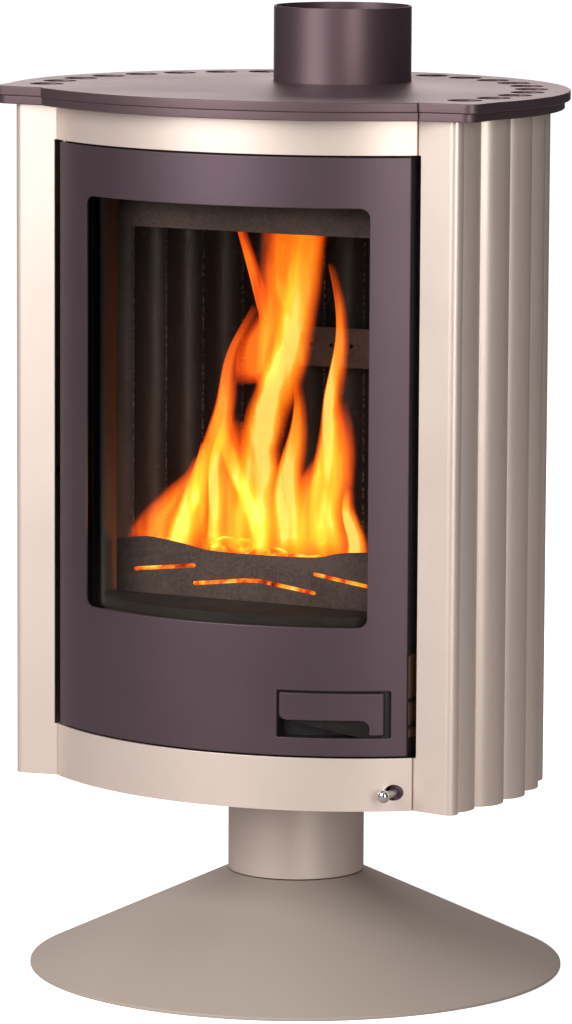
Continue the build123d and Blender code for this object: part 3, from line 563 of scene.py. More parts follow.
def turned(profile, count, place, closed=True):
    """A round shape from its half outline of (radius, height). Place puts it where it stands."""
    made = bmesh.new()
    turns = [math.tau * index / count for index in range(count)]
    rings = [
        [made.verts.new(Vector(place(r * math.cos(t), r * math.sin(t), h)) * MM) for t in turns]
        for r, h in profile
    ]
    pairs = list(zip(rings, rings[1:]))
    if closed:
        pairs.append((rings[-1], rings[0]))
    for lower, upper in pairs:
        for index in range(count):
            other = (index + 1) % count
            made.faces.new((lower[index], lower[other], upper[other], upper[index]))
    if not closed:
        made.faces.new(rings[0])
        made.faces.new(rings[-1])
    bmesh.ops.recalc_face_normals(made, faces=made.faces)
    return made


def object_from(made, name, material, sharp=SHARP):
    """A mesh object with smooth faces, sharp creases and even normals."""
    mesh = bpy.data.meshes.new(name)
    made.to_mesh(mesh)
    made.free()
    mesh.shade_smooth()
    mesh.set_sharp_from_angle(angle=sharp)
    mesh.materials.append(material)
    new = bpy.data.objects.new(name, mesh)
    bpy.context.collection.objects.link(new)
    normals = new.modifiers.new("normals", "WEIGHTED_NORMAL")
    normals.keep_sharp = True
    return new


def piece(made, name, body, slot, *nodes, material=None, sharp=SHARP):
    """A finished piece that rides on a body and stands for CAD nodes."""
    new = object_from(made, name, material or MATERIALS[slot], sharp)
    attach(new, body)
    if nodes:
        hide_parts(*nodes)
    return new


def on_arc(radius):
    """Places (x, z, depth) on the front arc."""
    return lambda x, z, depth: (x, arc_depth(radius - depth, x), z)


def on_level(top):
    """Places (x, y, depth) on a level plate."""
    return lambda x, y, depth: (x, y, top - depth)


def upright(y):
    """Places (x, z, depth) on a plate that faces the front."""
    return lambda x, z, depth: (x, y + depth, z)


def standing(x, y):
    """Places a turned shape on an upright axis."""
    return lambda across, along, height: (x + across, y + along, height)


def facing_front(x, z):
    """Places a turned shape on an axis along Y."""
    return lambda across, up, height: (x + across, height, z + up)


def even_cuts(x0, x1, pitch=6.0):
    """Where a bent plate is divided so that it bends smoothly."""
    return steps(x0, x1, math.ceil((x1 - x0) / pitch))[1:-1]


# ---- pedestal -----------------------------------------------------------------------

FOOT_LIP, FOOT_RIM_Z = 10.0, 3.2
CONE_LIP, CONE_LIP_DEPTH = 5.8, 3.0
NECK_T = 2.5
CONE_STEPS, TUBE_STEPS, SMALL_STEPS = 256, 192, 64
TUBE_RIM = 0.7
cone_profile = rounded(
    [
        (FOOT_R - FOOT_LIP, 0),
        (FOOT_R, 0),
        (FOOT_R, FOOT_RIM_Z),
        (NECK_R, CONE_TOP),
        (NECK_R - CONE_LIP, CONE_TOP),
        (NECK_R - CONE_LIP, CONE_TOP - CONE_LIP_DEPTH),
    ],
    [0, 0.9, 1.0, 1.2, 0, 0],
)
cone = turned(cone_profile, CONE_STEPS, standing(0, 0))
piece(cone, "foot_cone", "root", "foot_paint", "pedestal_cone")


def tube_profile(outer, inner, bottom, top, rim):
    """The half outline of a tube with rounded ends."""
    corners = [(inner, bottom), (outer, bottom), (outer, top), (inner, top)]
    return rounded(corners, rim)


neck_profile = tube_profile(NECK_R, NECK_R - NECK_T, NECK_Z, NECK_TOP, TUBE_RIM)
neck = turned(neck_profile, TUBE_STEPS, standing(0, 0))
piece(neck, "neck_tube", "root", "neck_paint", "pedestal_neck")

# ---- casing -------------------------------------------------------------------------

PLATE_R, PLATE_FRONT_R, ARC_END = 302.8, 371.0, 222.0
SHOULDER, BEAK_Y, SIDE_Y = (272.0, -167.0), -169.5, -118.0
CORNER_X, CORNER_Y = 14.0, 12.0
SHOULDER_SHARE = 0.6
UNDER_MARGIN, UNDER_FRONT_MARGIN = 6.0, 1.5
VENT_R, VENT_PITCH_R, VENT_STEP, LAST_VENT = 18.0, 261.0, 10.8, 10
COLLAR_R, COLLAR_BORE, FLUE_HOLE_R = 75.0, 73.0, 75.1


def top_outline(margin, front_margin):
    """Outline of a top plate: round behind, a curved corner over each pillar, an arc in front."""
    radius = PLATE_R - margin
    front = PLATE_FRONT_R - front_margin
    shoulder = (SHOULDER[0] - SHOULDER_SHARE * margin, SHOULDER[1] + front_margin)
    corner = [
        (shoulder[0] + CORNER_X * math.sin(t), shoulder[1] + CORNER_Y * (1 - math.cos(t)))
        for t in steps(0, math.pi / 2, 8)
    ]
    side_angle = 90 + math.degrees(math.asin((BARREL_Y - SIDE_Y) / radius))
    right = [(ARC_END, BEAK_Y + front_margin), *corner]
    outline = [(x, arc_depth(front, x)) for x in steps(-ARC_END, ARC_END, 90)]
    outline += right
    outline += [polar(radius, angle) for angle in steps(side_angle, -side_angle, 220)]
    outline += [(-x, y) for x, y in reversed(right)]
    return outline


vents = [
    circle(*polar(VENT_PITCH_R, step * VENT_STEP), VENT_R, 40)
    for step in range(-LAST_VENT, LAST_VENT + 1)
]
flue_hole = circle(0, FLUE_Y, FLUE_HOLE_R, 128)
for node_name, bottom, top, margins, edge in (
    ("under_plate", UNDER_Z, UNDER_TOP, (UNDER_MARGIN, UNDER_FRONT_MARGIN), 0.9),
    ("top_plate", PLATE_Z, PLATE_TOP, (0, 0), 1.0),
):
    loops = [top_outline(*margins), *vents, flue_hole]
    plate = sheet(loops, top - bottom, on_level(top), edge=edge, back_edge=edge)
    piece(plate, node_name + "_finish", "root", "plate_paint", node_name)
collar_profile = tube_profile(COLLAR_R, COLLAR_BORE, COLLAR_Z, COLLAR_TOP, TUBE_RIM)
collar = turned(collar_profile, TUBE_STEPS, standing(0, FLUE_Y))
piece(collar, "collar_tube", "root", "plate_paint", "flue_collar")

FASCIA_CORNER = 0.8
fascia_cuts = even_cuts(-FASCIA_HALF, FASCIA_HALF)
air_hole = circle(AIR_X, AIR_Z, BUSH_R, 56)
for node_name, bottom, top, holes in (
    ("top_fascia", UPPER_FASCIA_Z, UPPER_FASCIA_TOP, []),
    ("bottom_fascia", LOWER_FASCIA_Z, LOWER_FASCIA_TOP, [air_hole]),
):
    outline = rounded_box(-FASCIA_HALF, FASCIA_HALF, bottom, top, FASCIA_CORNER)
    fascia = sheet([outline, *holes], SKIN_T, on_arc(SKIN_R), fascia_cuts, edge=0.35)
    piece(fascia, node_name + "_finish", "root", "casing_paint", node_name)

PILLAR_X0, PILLAR_X1, PILLAR_Y0, PILLAR_Y1 = 213.0, 263.9, -150.6, -159.3
PILLAR_T, NOTCH, RETURN_DEPTH, OUTER_RETURN_Y = 2.5, 4.0, 18.0, -146.0
INNER_FOLD_R, OUTER_FOLD_R = 2.7, 9.5
fold = rounded(
    [
        (PILLAR_X0, PILLAR_Y0 + RETURN_DEPTH),
        (PILLAR_X0, PILLAR_Y0),
        (PILLAR_X1, PILLAR_Y1),
        (PILLAR_X1, OUTER_RETURN_Y),
    ],
    [0, INNER_FOLD_R, OUTER_FOLD_R, 0],
    count=8,
    closed=False,
)
fold = [Vector(point) for point in fold]
fold_at = [0.0]
for near, far in zip(fold, fold[1:]):
    fold_at.append(fold_at[-1] + (far - near).length)


def along_fold(side):
    """Places (distance, z, depth) on the folded pillar of one side."""

    def place(distance, z, depth):
        index = max(i for i, at in enumerate(fold_at[:-1]) if at <= max(distance, 0))
        near, far = fold[index], fold[index + 1]
        way = (far - near).normalized()
        before = (near - fold[index - 1]).normalized() if index else way
        at_joint = abs(distance - fold_at[index]) < 1e-3
        normal_way = (way + before).normalized() if at_joint else way
        inward = Vector((-normal_way.y, normal_way.x))
        spot = near + way * (distance - fold_at[index]) + inward * depth
        return (side * spot.x, spot.y, z)

    return place


pillar_middle = (PILLAR_X0 + PILLAR_X1) / 2
flat_start = max(index for index, point in enumerate(fold) if point.x < pillar_middle)
face_way = (fold[flat_start + 1] - fold[flat_start]).normalized()
notch_at = fold_at[flat_start] + (PILLAR_X0 + NOTCH - fold[flat_start].x) / face_way.x
pillar_outline = rounded(
    [
        (0, BODY_Z),
        (fold_at[-1], BODY_Z),
        (fold_at[-1], BODY_TOP),
        (0, BODY_TOP),
        (0, UPPER_FASCIA_Z),
        (notch_at, UPPER_FASCIA_Z),
        (notch_at, LOWER_FASCIA_TOP),
        (0, LOWER_FASCIA_TOP),
    ],
    0.5,
    count=3,
)
for side, name in ((1, "right_pillar"), (-1, "left_pillar")):
    piece(
        sheet([pillar_outline], PILLAR_T, along_fold(side), fold_at[1:-1], edge=0.3),
        name + "_finish",
        "root",
        "casing_paint",
        name,
    )


def three_point_arc(a, b, c, count):
    """Points on the arc through three points, without the last one."""
    (ax, ay), (bx, by), (cx, cy) = a, b, c
    d = 2 * (ax * (by - cy) + bx * (cy - ay) + cx * (ay - by))
    a2, b2, c2 = ax * ax + ay * ay, bx * bx + by * by, cx * cx + cy * cy
    ux = (a2 * (by - cy) + b2 * (cy - ay) + c2 * (ay - by)) / d
    uy = (a2 * (cx - bx) + b2 * (ax - cx) + c2 * (bx - ax)) / d
    start, end = math.atan2(ay - uy, ax - ux), math.atan2(cy - uy, cx - ux)
    turn = (end - start + math.pi) % math.tau - math.pi
    radius = math.hypot(ax - ux, ay - uy)
    angles = steps(start, start + turn, count)[:-1]
    return [(ux + radius * math.cos(angle), uy + radius * math.sin(angle)) for angle in angles]


def flute_point(valley, crest, step):
    """A point on a fluted outline, where step counts pitches from the rear."""
    share = 2 * (step - round(step))
    return polar(crest - (crest - valley) * share**2, step * PITCH)


def fluted_path(valley, crest, first, last, count):
    """The fluted outline from one step to another."""
    breaks = [first]
    edge = math.floor(first + 0.5) + 0.5
    while edge < last:
        breaks.append(edge)
        edge += 1
    breaks.append(last)
    path = []
    for start, end in zip(breaks, breaks[1:]):
        ends = (flute_point(valley, crest, step) for step in (start, (start + end) / 2, end))
        path += three_point_arc(*ends, max(3, round(count * (end - start))))
    path.append(flute_point(valley, crest, last))
    return path


def fluted_wall(valley, crest, thickness, first, last, bottom, top, count=18):
    """A fluted wall of even thickness with rounded ends."""
    outer = fluted_path(valley, crest, first, last, count)
    inner = fluted_path(valley - thickness, crest - thickness, first, last, count)
    return sheet([outer + inner[::-1]], top - bottom, on_level(top), edge=0.4, back_edge=0.4)


REAR_LOBE = 5.5
for name, first, last in (
    ("left_cladding", -END_LOBE, -REAR_LOBE - SEAM),
    ("rear_cladding", -REAR_LOBE + SEAM, REAR_LOBE - SEAM),
    ("right_cladding", REAR_LOBE + SEAM, END_LOBE),
):
    wall = fluted_wall(CLAD_VALLEY, CLAD_CREST, CLAD_T, first, last, BODY_Z, BODY_TOP)
    piece(wall, name + "_finish", "root", "casing_paint", name)
shell = fluted_wall(
    SHELL_VALLEY, SHELL_CREST, SHELL_T, -SHELL_END, SHELL_END, SHELL_Z, SHELL_TOP
)
piece(shell, "fluted_firebox", "root", "firebox_steel", "firebox_shell", material=SHELL_MATERIAL)

# ---- door ---------------------------------------------------------------------------

GLASS_R, GLASS_T, GLASS_GAP = 344.3, 4.0, 3.0
door_cuts = even_cuts(-DOOR_HALF, DOOR_HALF)
frame_outline = rounded_box(-FRAME_HALF, FRAME_HALF, FRAME_Z, FRAME_TOP, 1.0)
SIDE_REVEAL, SILL_REVEAL, HEAD_REVEAL = 2.0, 3.5, 3.0
window_x0, window_x1, window_z0, window_z1 = WINDOW
frame_window = rounded_box(
    window_x0 - SIDE_REVEAL,
    window_x1 + SIDE_REVEAL,
    window_z0 - SILL_REVEAL,
    window_z1 + HEAD_REVEAL,
    WINDOW_CORNER,
)
lower_bay = rounded_box(*LOWER_BAY, 1.0)
glass_bed = rounded_box(
    GLASS_X0 - GLASS_GAP, GLASS_X1 + GLASS_GAP, GLASS_Z0 - GLASS_GAP, GLASS_Z1 + GLASS_GAP, 1.0
)
glass_outline = rounded_box(GLASS_X0, GLASS_X1, GLASS_Z0, GLASS_Z1, 2.0)
skin_loops = [
    rounded_box(-DOOR_HALF, DOOR_HALF, DOOR_Z, DOOR_TOP, 1.2),
    rounded_box(*WINDOW, WINDOW_CORNER),
    rounded_box(*RECESS, 1.5),
]
skin = sheet(skin_loops, SKIN_T, on_arc(SKIN_R), door_cuts, edge=0.8)
piece(skin, "door_skin_finish", "door", "door_paint", "door_skin")
spacer_loops, spacer_t = [frame_outline, glass_bed, lower_bay], SKIN_R - SKIN_T - SPACER_R
spacer = sheet(spacer_loops, spacer_t, on_arc(SKIN_R - SKIN_T), door_cuts, edge=0.3)
piece(spacer, "skin_spacer_finish", "door", "firebox_steel", "skin_spacer")
back_loops, back_t = [frame_outline, frame_window, lower_bay], SPACER_R - DOOR_BACK_R
back = sheet(back_loops, back_t, on_arc(SPACER_R), door_cuts, edge=0.8, back_edge=0.8)
piece(
    back, "door_frame_finish", "door", "firebox_steel", "door_frame", material=FIRELIT_STEEL
)
pane = sheet([glass_outline], GLASS_T, on_arc(GLASS_R), door_cuts, edge=0.4)
piece(pane, "glass_finish", "door", "glass", "glass_pane")

ROPE_SIDES, ROPE_RIPPLE = 14, 0.13


def rope_loop(path, radius, half_width, half_depth, pitch):
    """A flattened braided rope along a closed path on the front arc."""
    made = bmesh.new()
    spots = [Vector(point) for point in path]
    lengths = [(b - a).length for a, b in zip(spots, spots[1:] + spots[:1])]
    total = sum(lengths)
    count = round(total / pitch) * 4
    rings = []
    index, walked = 0, 0.0
    for step in range(count):
        at = total * step / count
        while walked + lengths[index] < at:
            walked += lengths[index]
            index += 1
        a, b = spots[index], spots[(index + 1) % len(spots)]
        way = (b - a).normalized()
        spot = a + way * (at - walked)
        ring = []
        for side in range(ROPE_SIDES):
            turn = math.tau * side / ROPE_SIDES
            ripple = 1 - ROPE_RIPPLE * abs(math.sin(math.pi * at / pitch + 2 * turn))
            offset = Vector((way.y, -way.x)) * half_width * math.cos(turn) * ripple
            depth = half_depth * math.sin(turn) * ripple
            x, z = spot + offset
            ring.append(made.verts.new(Vector((x, arc_depth(radius - depth, x), z)) * MM))
        rings.append(ring)
    for first, second in zip(rings, rings[1:] + rings[:1]):
        for side in range(ROPE_SIDES):
            other = (side + 1) % ROPE_SIDES
            made.faces.new((first[side], first[other], second[other], second[side]))
    bmesh.ops.recalc_face_normals(made, faces=made.faces)
    return made


ROPE_MID_X, ROPE_Z0, ROPE_Z1 = 179.0, 285.8, 863.0
ROPE_HALF_WIDTH, ROPE_HALF_DEPTH, ROPE_PITCH = 3.0, 1.8, 6.0
rope_path = rounded_box(-ROPE_MID_X, ROPE_MID_X, ROPE_Z0, ROPE_Z1, 5.0)
rope_radius = (DOOR_BACK_R + FRAME_R + 0.3) / 2
rope = rope_loop(rope_path, rope_radius, ROPE_HALF_WIDTH, ROPE_HALF_DEPTH, ROPE_PITCH)
piece(rope, "rope_seal", "door", "rope", "door_gasket", sharp=math.pi)

# ---- handle and air control ---------------------------------------------------------

LEVER_T, LEVER_CUT_PITCH, HOOK_GAP = SKIN_T + 0.5, 4.0, 0.1
lever_outline = rounded(
    [
        (LEVER_X0, LEVER_Z1),
        (LEVER_X0, GRIP_Z),
        (LEG_X, GRIP_Z),
        (LEG_X, LEVER_Z0),
        (LEVER_X1, LEVER_Z0),
        (LEVER_X1, LEVER_Z1),
    ],
    [1.0, 8.0, 8.0, 1.0, 1.0, 1.0],
)
lever_cuts = even_cuts(LEVER_X0, LEVER_X1, LEVER_CUT_PITCH)
lever = sheet([lever_outline], LEVER_T, on_arc(SKIN_R), lever_cuts, edge=0.9)
piece(lever, "lever_plate", "handle", "door_paint", "handle_lever")
for name, bottom, top in (
    ("knuckle_low", LEVER_Z0, HOOK_Z0 - HOOK_GAP),
    ("knuckle_high", HOOK_Z1 + HOOK_GAP, LEVER_Z1),
):
    profile = tube_profile(KNUCKLE_R - 0.6, PIN_R, bottom, top, 0.5)
    piece(turned(profile, 48, standing(HANDLE_X, HANDLE_Y)), name, "handle", "door_paint")

# radius, and distance in front of the fascia
KNOB_SHAPE = [(0.05, 0), (3.4, 0), (3.5, 0.4), (4.2, 2), (5.3, 4.6), (6.35, 7.2), (6.72, 8.5)]
KNOB_SHAPE += [(6.75, 9.8), (6.45, 11.2), (5.8, 12.6), (4.7, 13.8), (3.2, 14.6), (1.6, 14.95)]
knob_profile = [(radius, KNOB_Y - ahead) for radius, ahead in KNOB_SHAPE] + [(0.05, KNOB_TIP_Y)]
knob = turned(knob_profile, SMALL_STEPS, facing_front(AIR_X, AIR_Z), closed=False)
piece(knob, "knob", "air_control", "chrome", "air_knob", sharp=math.radians(60))
BUSH_Y0, BUSH_Y1, BUSH_GAP = -158.5, -150.0, 0.15
bush_profile = tube_profile(BUSH_R - BUSH_GAP, ROD_R, BUSH_Y0, BUSH_Y1, 0.6)
bush = turned(bush_profile, SMALL_STEPS, facing_front(AIR_X, AIR_Z))
bush_material = MATERIALS["door_paint"]
piece(bush, "bush_ring", "root", "casing_paint", "knob_bush", material=bush_material)

# ---- screens inside the fire chamber ------------------------------------------------

SCREEN_T, SLOT_W, RETAINER_HALF = 2.0, 4.4, 159.0
RETAINER_WAVE = [(-RETAINER_HALF, 472), (-120, 476.5), (-79, 472), (-40, 466.3)]
RETAINER_WAVE += [(40, 466.5), (82, 468.5), (112, 475), (RETAINER_HALF, 479)]
(_, _, RETAINER_BASE), _ = node_box("log_retainer")


def smooth_curve(points, count):
    """A smooth path through points."""
    points = [Vector(point) for point in points]
    padded = [points[0] * 2 - points[1], *points, points[-1] * 2 - points[-2]]
    path = []
    for p0, p1, p2, p3 in zip(padded, padded[1:], padded[2:], padded[3:]):
        for t in steps(0, 1, count)[:-1]:
            path.append(
                0.5 * (2 * p1 + (p2 - p0) * t + (2 * p0 - 5 * p1 + 4 * p2 - p3) * t * t)
                + 0.5 * (3 * p1 - p0 - 3 * p2 + p3) * t**3
            )
    path.append(points[-1])
    return path


def slot_outline(points):
    """A slot of even width along a path, with round ends."""
    spots = [Vector(point) for point in points]
    right, left = [], []
    for index, spot in enumerate(spots):
        before = spots[max(index - 1, 0)]
        after = spots[min(index + 1, len(spots) - 1)]
        way = (after - before).normalized()
        side = Vector((way.y, -way.x)) * SLOT_W / 2
        right.append(spot + side)
        left.append(spot - side)

    def cap(spot, way):
        turns = steps(-math.pi / 2, math.pi / 2, 8)[1:-1]
        across = Vector((-way.y, way.x))
        return [spot + (way * math.cos(t) + across * math.sin(t)) * SLOT_W / 2 for t in turns]

    end_way = (spots[-1] - spots[-2]).normalized()
    start_way = (spots[0] - spots[1]).normalized()
    outline = right + cap(spots[-1], end_way) + left[::-1] + cap(spots[0], start_way)
    return [tuple(point) for point in outline]


retainer_outline = [tuple(point) for point in smooth_curve(RETAINER_WAVE, 8)]
retainer_outline += [(RETAINER_HALF, RETAINER_BASE), (-RETAINER_HALF, RETAINER_BASE)]
retainer_slots = [
    slot_outline([(-136, 440.5), (-65, 449)]),
    slot_outline([(-64, 429.8), (-4, 437.3), (15, 438), (79, 429.8)]),
    slot_outline([(80, 450), (152, 440.2)]),
]
retainer_loops = [retainer_outline, *retainer_slots]
retainer = sheet(retainer_loops, SCREEN_T, upright(SCREEN_Y), edge=0.5, back_edge=0.5)
piece(retainer, "retainer_finish", "root", "cast_iron", "log_retainer")
(_, _, DEFLECTOR_Z0), (DEFLECTOR_HALF, _, DEFLECTOR_Z1) = node_box("air_wash_deflector")
SIDE_INSET, SHOULDER_Z = 5.5, 843.0
deflector_outline = rounded(
    [
        (-DEFLECTOR_HALF + SIDE_INSET, DEFLECTOR_Z0),
        (DEFLECTOR_HALF - SIDE_INSET, DEFLECTOR_Z0),
        (DEFLECTOR_HALF - SIDE_INSET, SHOULDER_Z),
        (DEFLECTOR_HALF, SHOULDER_Z),
        (DEFLECTOR_HALF, DEFLECTOR_Z1),
        (-DEFLECTOR_HALF, DEFLECTOR_Z1),
        (-DEFLECTOR_HALF, SHOULDER_Z),
        (-DEFLECTOR_HALF + SIDE_INSET, SHOULDER_Z),
    ],
    [8, 8, 0.8, 0.8, 0.4, 0.4, 0.8, 0.8],
)
deflector = sheet([deflector_outline], SCREEN_T, upright(SCREEN_Y), edge=0.6, back_edge=0.6)
piece(deflector, "deflector_finish", "root", "cast_iron", "air_wash_deflector")

# ---- materials and softened edges of the nodes that stay -----------------------------

record_slots = {
    entry["slot"]: MATERIALS[entry["slot"]] for entry in frame["record"]["materials"]
}
SPECIAL = {
    "entrance_reveals": FIRELIT_STEEL,
    "handle_pocket": POCKET_SHADE,
    "secondary_air_bar": MATERIALS["cast_iron"],
}
# In metres: the weld distance, and the bevels of most nodes and of small ones.
WELD, SOFT_EDGE, THIN_EDGE = 0.00001, 0.0005, 0.00025
EDGE_ANGLE = math.radians(40)
PLAIN_NODES = ("secondary_air_bar",)
THIN_NODES = ("glass_gasket", "flange_bolts", "hinge_pins", "handle_pin", "latch_hook")
for node_name, node in frame["nodes"].items():
    if node.hide_render:
        continue
    for material_slot in node.material_slots:
        base = material_slot.material.name.split(".")[0]
        material_slot.material = SPECIAL.get(node_name, record_slots[base])
    if node_name in PLAIN_NODES:
        continue
    weld = node.modifiers.new("weld", "WELD")
    weld.merge_threshold = WELD
    soften = node.modifiers.new("soften", "BEVEL")
    soften.width = THIN_EDGE if node_name in THIN_NODES else SOFT_EDGE
    soften.segments = 2
    soften.limit_method = "ANGLE"
    soften.angle_limit = EDGE_ANGLE
    normals = node.modifiers.new("normals", "WEIGHTED_NORMAL")
    normals.keep_sharp = False

# ---- floor, embers and flames: they belong to the scene, not to the stove ------------

FLOOR_RADIUS = 30.0


def studio_floor():
    """A pale floor: it glows for the camera, and bounces a darker light on the stove."""
    s = Shading("studio_floor", Roughness=0.9)
    tone = s.blend(s.noise(1.2, 3.0), srgb(250, 250, 250), srgb(255, 255, 255))
    s.finish(tone, None, s.bump(s.noise(60.0, 3.0), 0.05, 0.001))
    away = s.node("ShaderNodeVectorMath", {0: s.place}, operation="LENGTH").outputs["Value"]
    # Painted light: a glow that only the camera sees, weaker near the stove, so the stove's shadow
    # on the floor is washed out but for a faint one at its foot.
    camera_glow = s.node("ShaderNodeEmission", {"Strength": s.spread(away, 0.75, 1.0, 0.25, 0.7)})
    lit = s.added(s.shader, camera_glow)
    bounce = s.node("ShaderNodeBsdfDiffuse", {"Color": srgb(196, 190, 187)})
    seen = s.node("ShaderNodeLightPath").outputs["Is Camera Ray"]
    return s.show(s.mixed(seen, bounce, lit))


floor_made = bmesh.new()
bmesh.ops.create_circle(floor_made, cap_ends=True, radius=FLOOR_RADIUS, segments=96)
floor = object_from(floor_made, "floor", studio_floor())

FLAME_STRENGTH, EMBER_STRENGTH = 1.3, 1.6
FLAME_ROWS, FLAME_COLUMNS = 60, 14
FLAME_BULGE, FLAME_RIPPLE = 12.0, 6.0
RIPPLE_HEIGHT, RIPPLE_WIDTH, THINNEST = 31.0, 17.0, 0.5


def flame_material(name, gain, *stops):
    """Glowing gas: light is added to what is behind it, fading to nothing at its edges."""
    s = Shading(name)
    flow = s.node("ShaderNodeUVMap", uv_map="flow").outputs[0]
    uv = s.node("ShaderNodeSeparateXYZ", {"Vector": flow})
    across, along = uv.outputs["X"], uv.outputs["Y"]
    warp = s.maths("MULTIPLY", s.maths("SUBTRACT", s.noise(20.0, 1.0, (1, 1, 0.45)), 0.5), 0.34)
    fine = s.maths("MULTIPLY", s.maths("SUBTRACT", s.noise(70.0, 1.0, (1, 1, 0.30)), 0.5), 0.10)
    bent = s.maths("ADD", s.maths("ADD", across, warp), fine)
    off_centre = s.maths("ABSOLUTE", s.maths("SUBTRACT", s.maths("MULTIPLY", bent, 2.0), 1.0))
    edge = s.spread(off_centre, 1.0, 0.0, 0.35, 0.98)
    body = s.maths("POWER", s.maths("MAXIMUM", edge, 0.0), 1.3)
    streaks = s.spread(s.noise(48.0, 1.5, (1, 1, 0.14)), 0.55, 1.35, 0.3, 0.7)
    fade = s.spread(along, 1.0, 0.0, 0.55, 1.0)
    fade = s.maths("POWER", s.maths("MAXIMUM", fade, 0.0), 0.8)
    from_middle = s.maths("ABSOLUTE", s.maths("SUBTRACT", s.maths("MULTIPLY", across, 2.0), 1.0))
    guard = s.spread(from_middle, 1.0, 0.0, 0.8, 1.0)
    rise = s.spread(along, 0.0, 1.0, 0.0, 0.14)
    ends = s.maths("MULTIPLY", rise, s.maths("MULTIPLY", fade, guard))
    heat = s.maths("MULTIPLY", s.maths("MULTIPLY", body, streaks), ends)
    colour = s.ramp(s.maths("MULTIPLY", heat, gain, clamp=True), *stops)
    glow = s.node("ShaderNodeEmission", {"Color": colour, "Strength": FLAME_STRENGTH})
    return s.show(s.added(s.node("ShaderNodeBsdfTransparent"), glow))


def flame(name, material, y, foot, lean, sway, bottom, top, width, tip):
    """A curved sheet of flame that leans and sways once from foot to top.

    Its half width changes evenly from width at the bottom to tip at the top.
    """
    path = [
        (
            foot + lean * t + sway * math.sin(math.tau * t),
            bottom + (top - bottom) * t,
            width + (tip - width) * t,
        )
        for t in steps(0, 1, FLAME_ROWS)
    ]
    made = bmesh.new()
    layer = made.loops.layers.uv.new("flow")
    rows = []
    for index, (x, z, width) in enumerate(path):
        before, after = path[max(index - 1, 0)], path[min(index + 1, len(path) - 1)]
        way = Vector((after[0] - before[0], after[1] - before[1])).normalized()
        side = Vector((way.y, -way.x))
        row = []
        ripple = FLAME_RIPPLE * math.sin(z / RIPPLE_HEIGHT + x / RIPPLE_WIDTH)
        for share in steps(-1, 1, FLAME_COLUMNS):
            spot = Vector((x, z)) + side * max(width, THINNEST) * share
            depth = y + FLAME_BULGE * (share * share - 0.5) + ripple
            corner = made.verts.new(Vector((spot.x, depth, spot.y)) * MM)
            row.append((corner, (share + 1) / 2, index / FLAME_ROWS))
        rows.append(row)
    for lower, upper in zip(rows, rows[1:]):
        for index in range(FLAME_COLUMNS):
            corners = (lower[index], lower[index + 1], upper[index + 1], upper[index])
            face = made.faces.new([corner[0] for corner in corners])
            for loop, corner in zip(face.loops, corners):
                loop[layer].uv = corner[1:]
    sheet_object = object_from(made, name, material, math.pi)
    sheet_object.modifiers.clear()
    for ray in ("diffuse", "shadow", "glossy"):
        setattr(sheet_object, f"visible_{ray}", False)


BLACK = (0, 0, 0, 1)
YELLOW_CORE = flame_material(
    "flame_core",
    1.0,
    (0.0, BLACK),
    (0.20, (0.45, 0.045, 0.001, 1)),
    (0.50, (1.0, 0.20, 0.006, 1)),
    (0.82, (1.0, 0.42, 0.03, 1)),
    (1.0, (1.0, 0.66, 0.12, 1)),
)
ORANGE_BODY = flame_material(
    "flame_body",
    0.95,
    (0.0, BLACK),
    (0.22, (0.50, 0.045, 0.001, 1)),
    (0.55, (0.95, 0.14, 0.004, 1)),
    (0.85, (1.0, 0.24, 0.010, 1)),
    (1.0, (1.0, 0.34, 0.02, 1)),
)
RED_BODY = flame_material(
    "flame_red",
    0.9,
    (0.0, BLACK),
    (0.30, (0.42, 0.03, 0.001, 1)),
    (0.70, (0.85, 0.10, 0.004, 1)),
    (1.0, (1.0, 0.17, 0.010, 1)),
)
FIRE_BASE = 440
# name, material, y, foot x, lean, sway, bottom, top, half width at the bottom and the top
flame("flame_main", YELLOW_CORE, -5, -45, 50, -15, FIRE_BASE, 850, 34, 20)
flame("flame_main_veil", ORANGE_BODY, 10, -40, 30, -5, 620, 860, 18, 50)
flame("flame_shoulder", RED_BODY, 25, -65, 20, -5, 630, 740, 28, 16)
flame("flame_left_arc", ORANGE_BODY, -10, -140, 90, 5, FIRE_BASE, 720, 26, 6)
flame("flame_left_veil", ORANGE_BODY, 5, -170, 50, -5, FIRE_BASE, 550, 50, 10)
flame("flame_left_fold", YELLOW_CORE, -25, -135, 35, -5, FIRE_BASE, 570, 24, 8)
flame("flame_left_inner", YELLOW_CORE, 0, -110, 25, 5, FIRE_BASE, 600, 16, 10)
flame("flame_cross", YELLOW_CORE, -30, -25, -55, 5, FIRE_BASE, 600, 18, 14)
flame("flame_centre", ORANGE_BODY, 15, -90, 5, 0, FIRE_BASE, 590, 40, 15)
flame("flame_middle", YELLOW_CORE, 0, -10, 5, -5, FIRE_BASE, 640, 32, 5)
flame("flame_right", YELLOW_CORE, -10, 50, -10, -12, FIRE_BASE, 770, 28, 3)
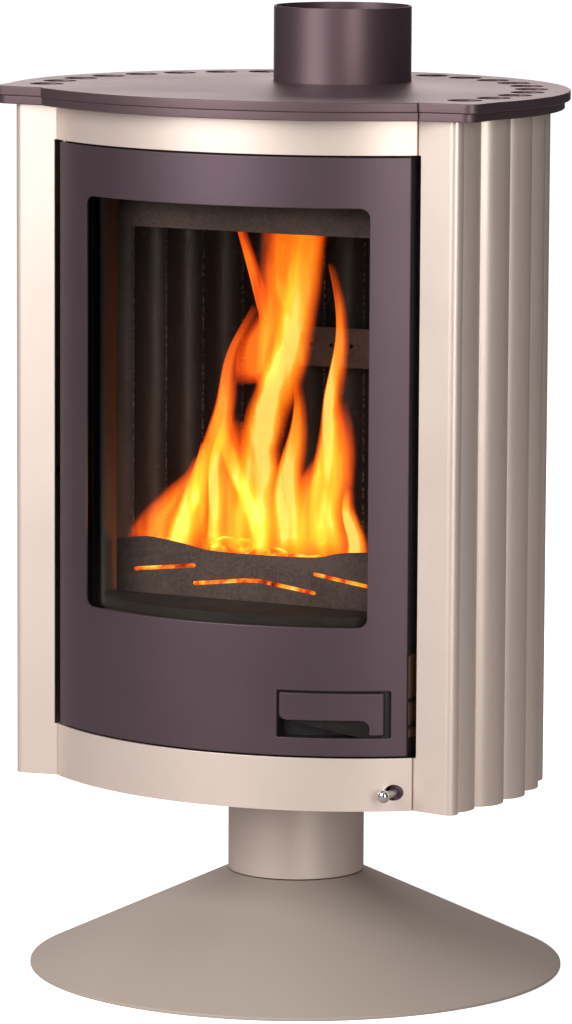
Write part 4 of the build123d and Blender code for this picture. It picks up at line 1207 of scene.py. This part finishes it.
flame("flame_right_veil", ORANGE_BODY, 20, 15, 20, -5, FIRE_BASE, 620, 55, 12)
flame("flame_right_edge", YELLOW_CORE, -20, 75, -5, 5, FIRE_BASE, 530, 18, 5)
flame("flame_upper_left", RED_BODY, 5, -45, -40, 0, 700, 830, 10, 5)
flame("flame_base", RED_BODY, 40, -55, 0, 0, 430, 545, 160, 35)


def ember_material():
    """Coals with a black crust and glowing cracks."""
    s = Shading("embers")
    colour = s.ramp(
        s.noise(46.0, 6.0),
        (0.30, (0.02, 0.003, 0.001, 1)),
        (0.46, (0.75, 0.06, 0.004, 1)),
        (0.56, (1.0, 0.35, 0.02, 1)),
        (0.68, (1.0, 0.72, 0.18, 1)),
    )
    return s.show(s.node("ShaderNodeEmission", {"Color": colour, "Strength": EMBER_STRENGTH}))


EMBER_CENTRES = 96
EMBER_BED = ((-188, 160), (-54, 60), (408, 440))
EMBER_SIZE, EMBER_FLATNESS, EMBER_ROUGHNESS = (14, 26), 0.7, 2.0
ember_random = random.Random(7)
ember_made = bmesh.new()
for _ in range(EMBER_CENTRES):
    spot = Vector([ember_random.uniform(*span) for span in EMBER_BED])
    size = ember_random.uniform(*EMBER_SIZE)
    scale = Matrix.Diagonal((size * MM, size * MM, size * EMBER_FLATNESS * MM, 1))
    shape = Matrix.Translation(spot * MM) @ scale
    made_now = bmesh.ops.create_icosphere(ember_made, subdivisions=2, radius=1.0, matrix=shape)
    for corner in made_now["verts"]:
        push = ember_random.uniform(-EMBER_ROUGHNESS, EMBER_ROUGHNESS) * MM
        corner.co += Vector((push, -push, push))
embers = object_from(ember_made, "embers", ember_material(), math.radians(20))

FIRE_COLOUR = (1.0, 0.45, 0.14)
for name, place, energy, radius in (
    ("fire_low", (-0.03, -0.02, 0.50), 0.22, 0.06),
    ("fire_high", (-0.01, 0.0, 0.68), 0.08, 0.05),
):
    target = Vector(place) - Vector((0, 0, 1))
    lamp(name, "POINT", Vector(place), target, energy, FIRE_COLOUR, shadow_soft_size=radius)
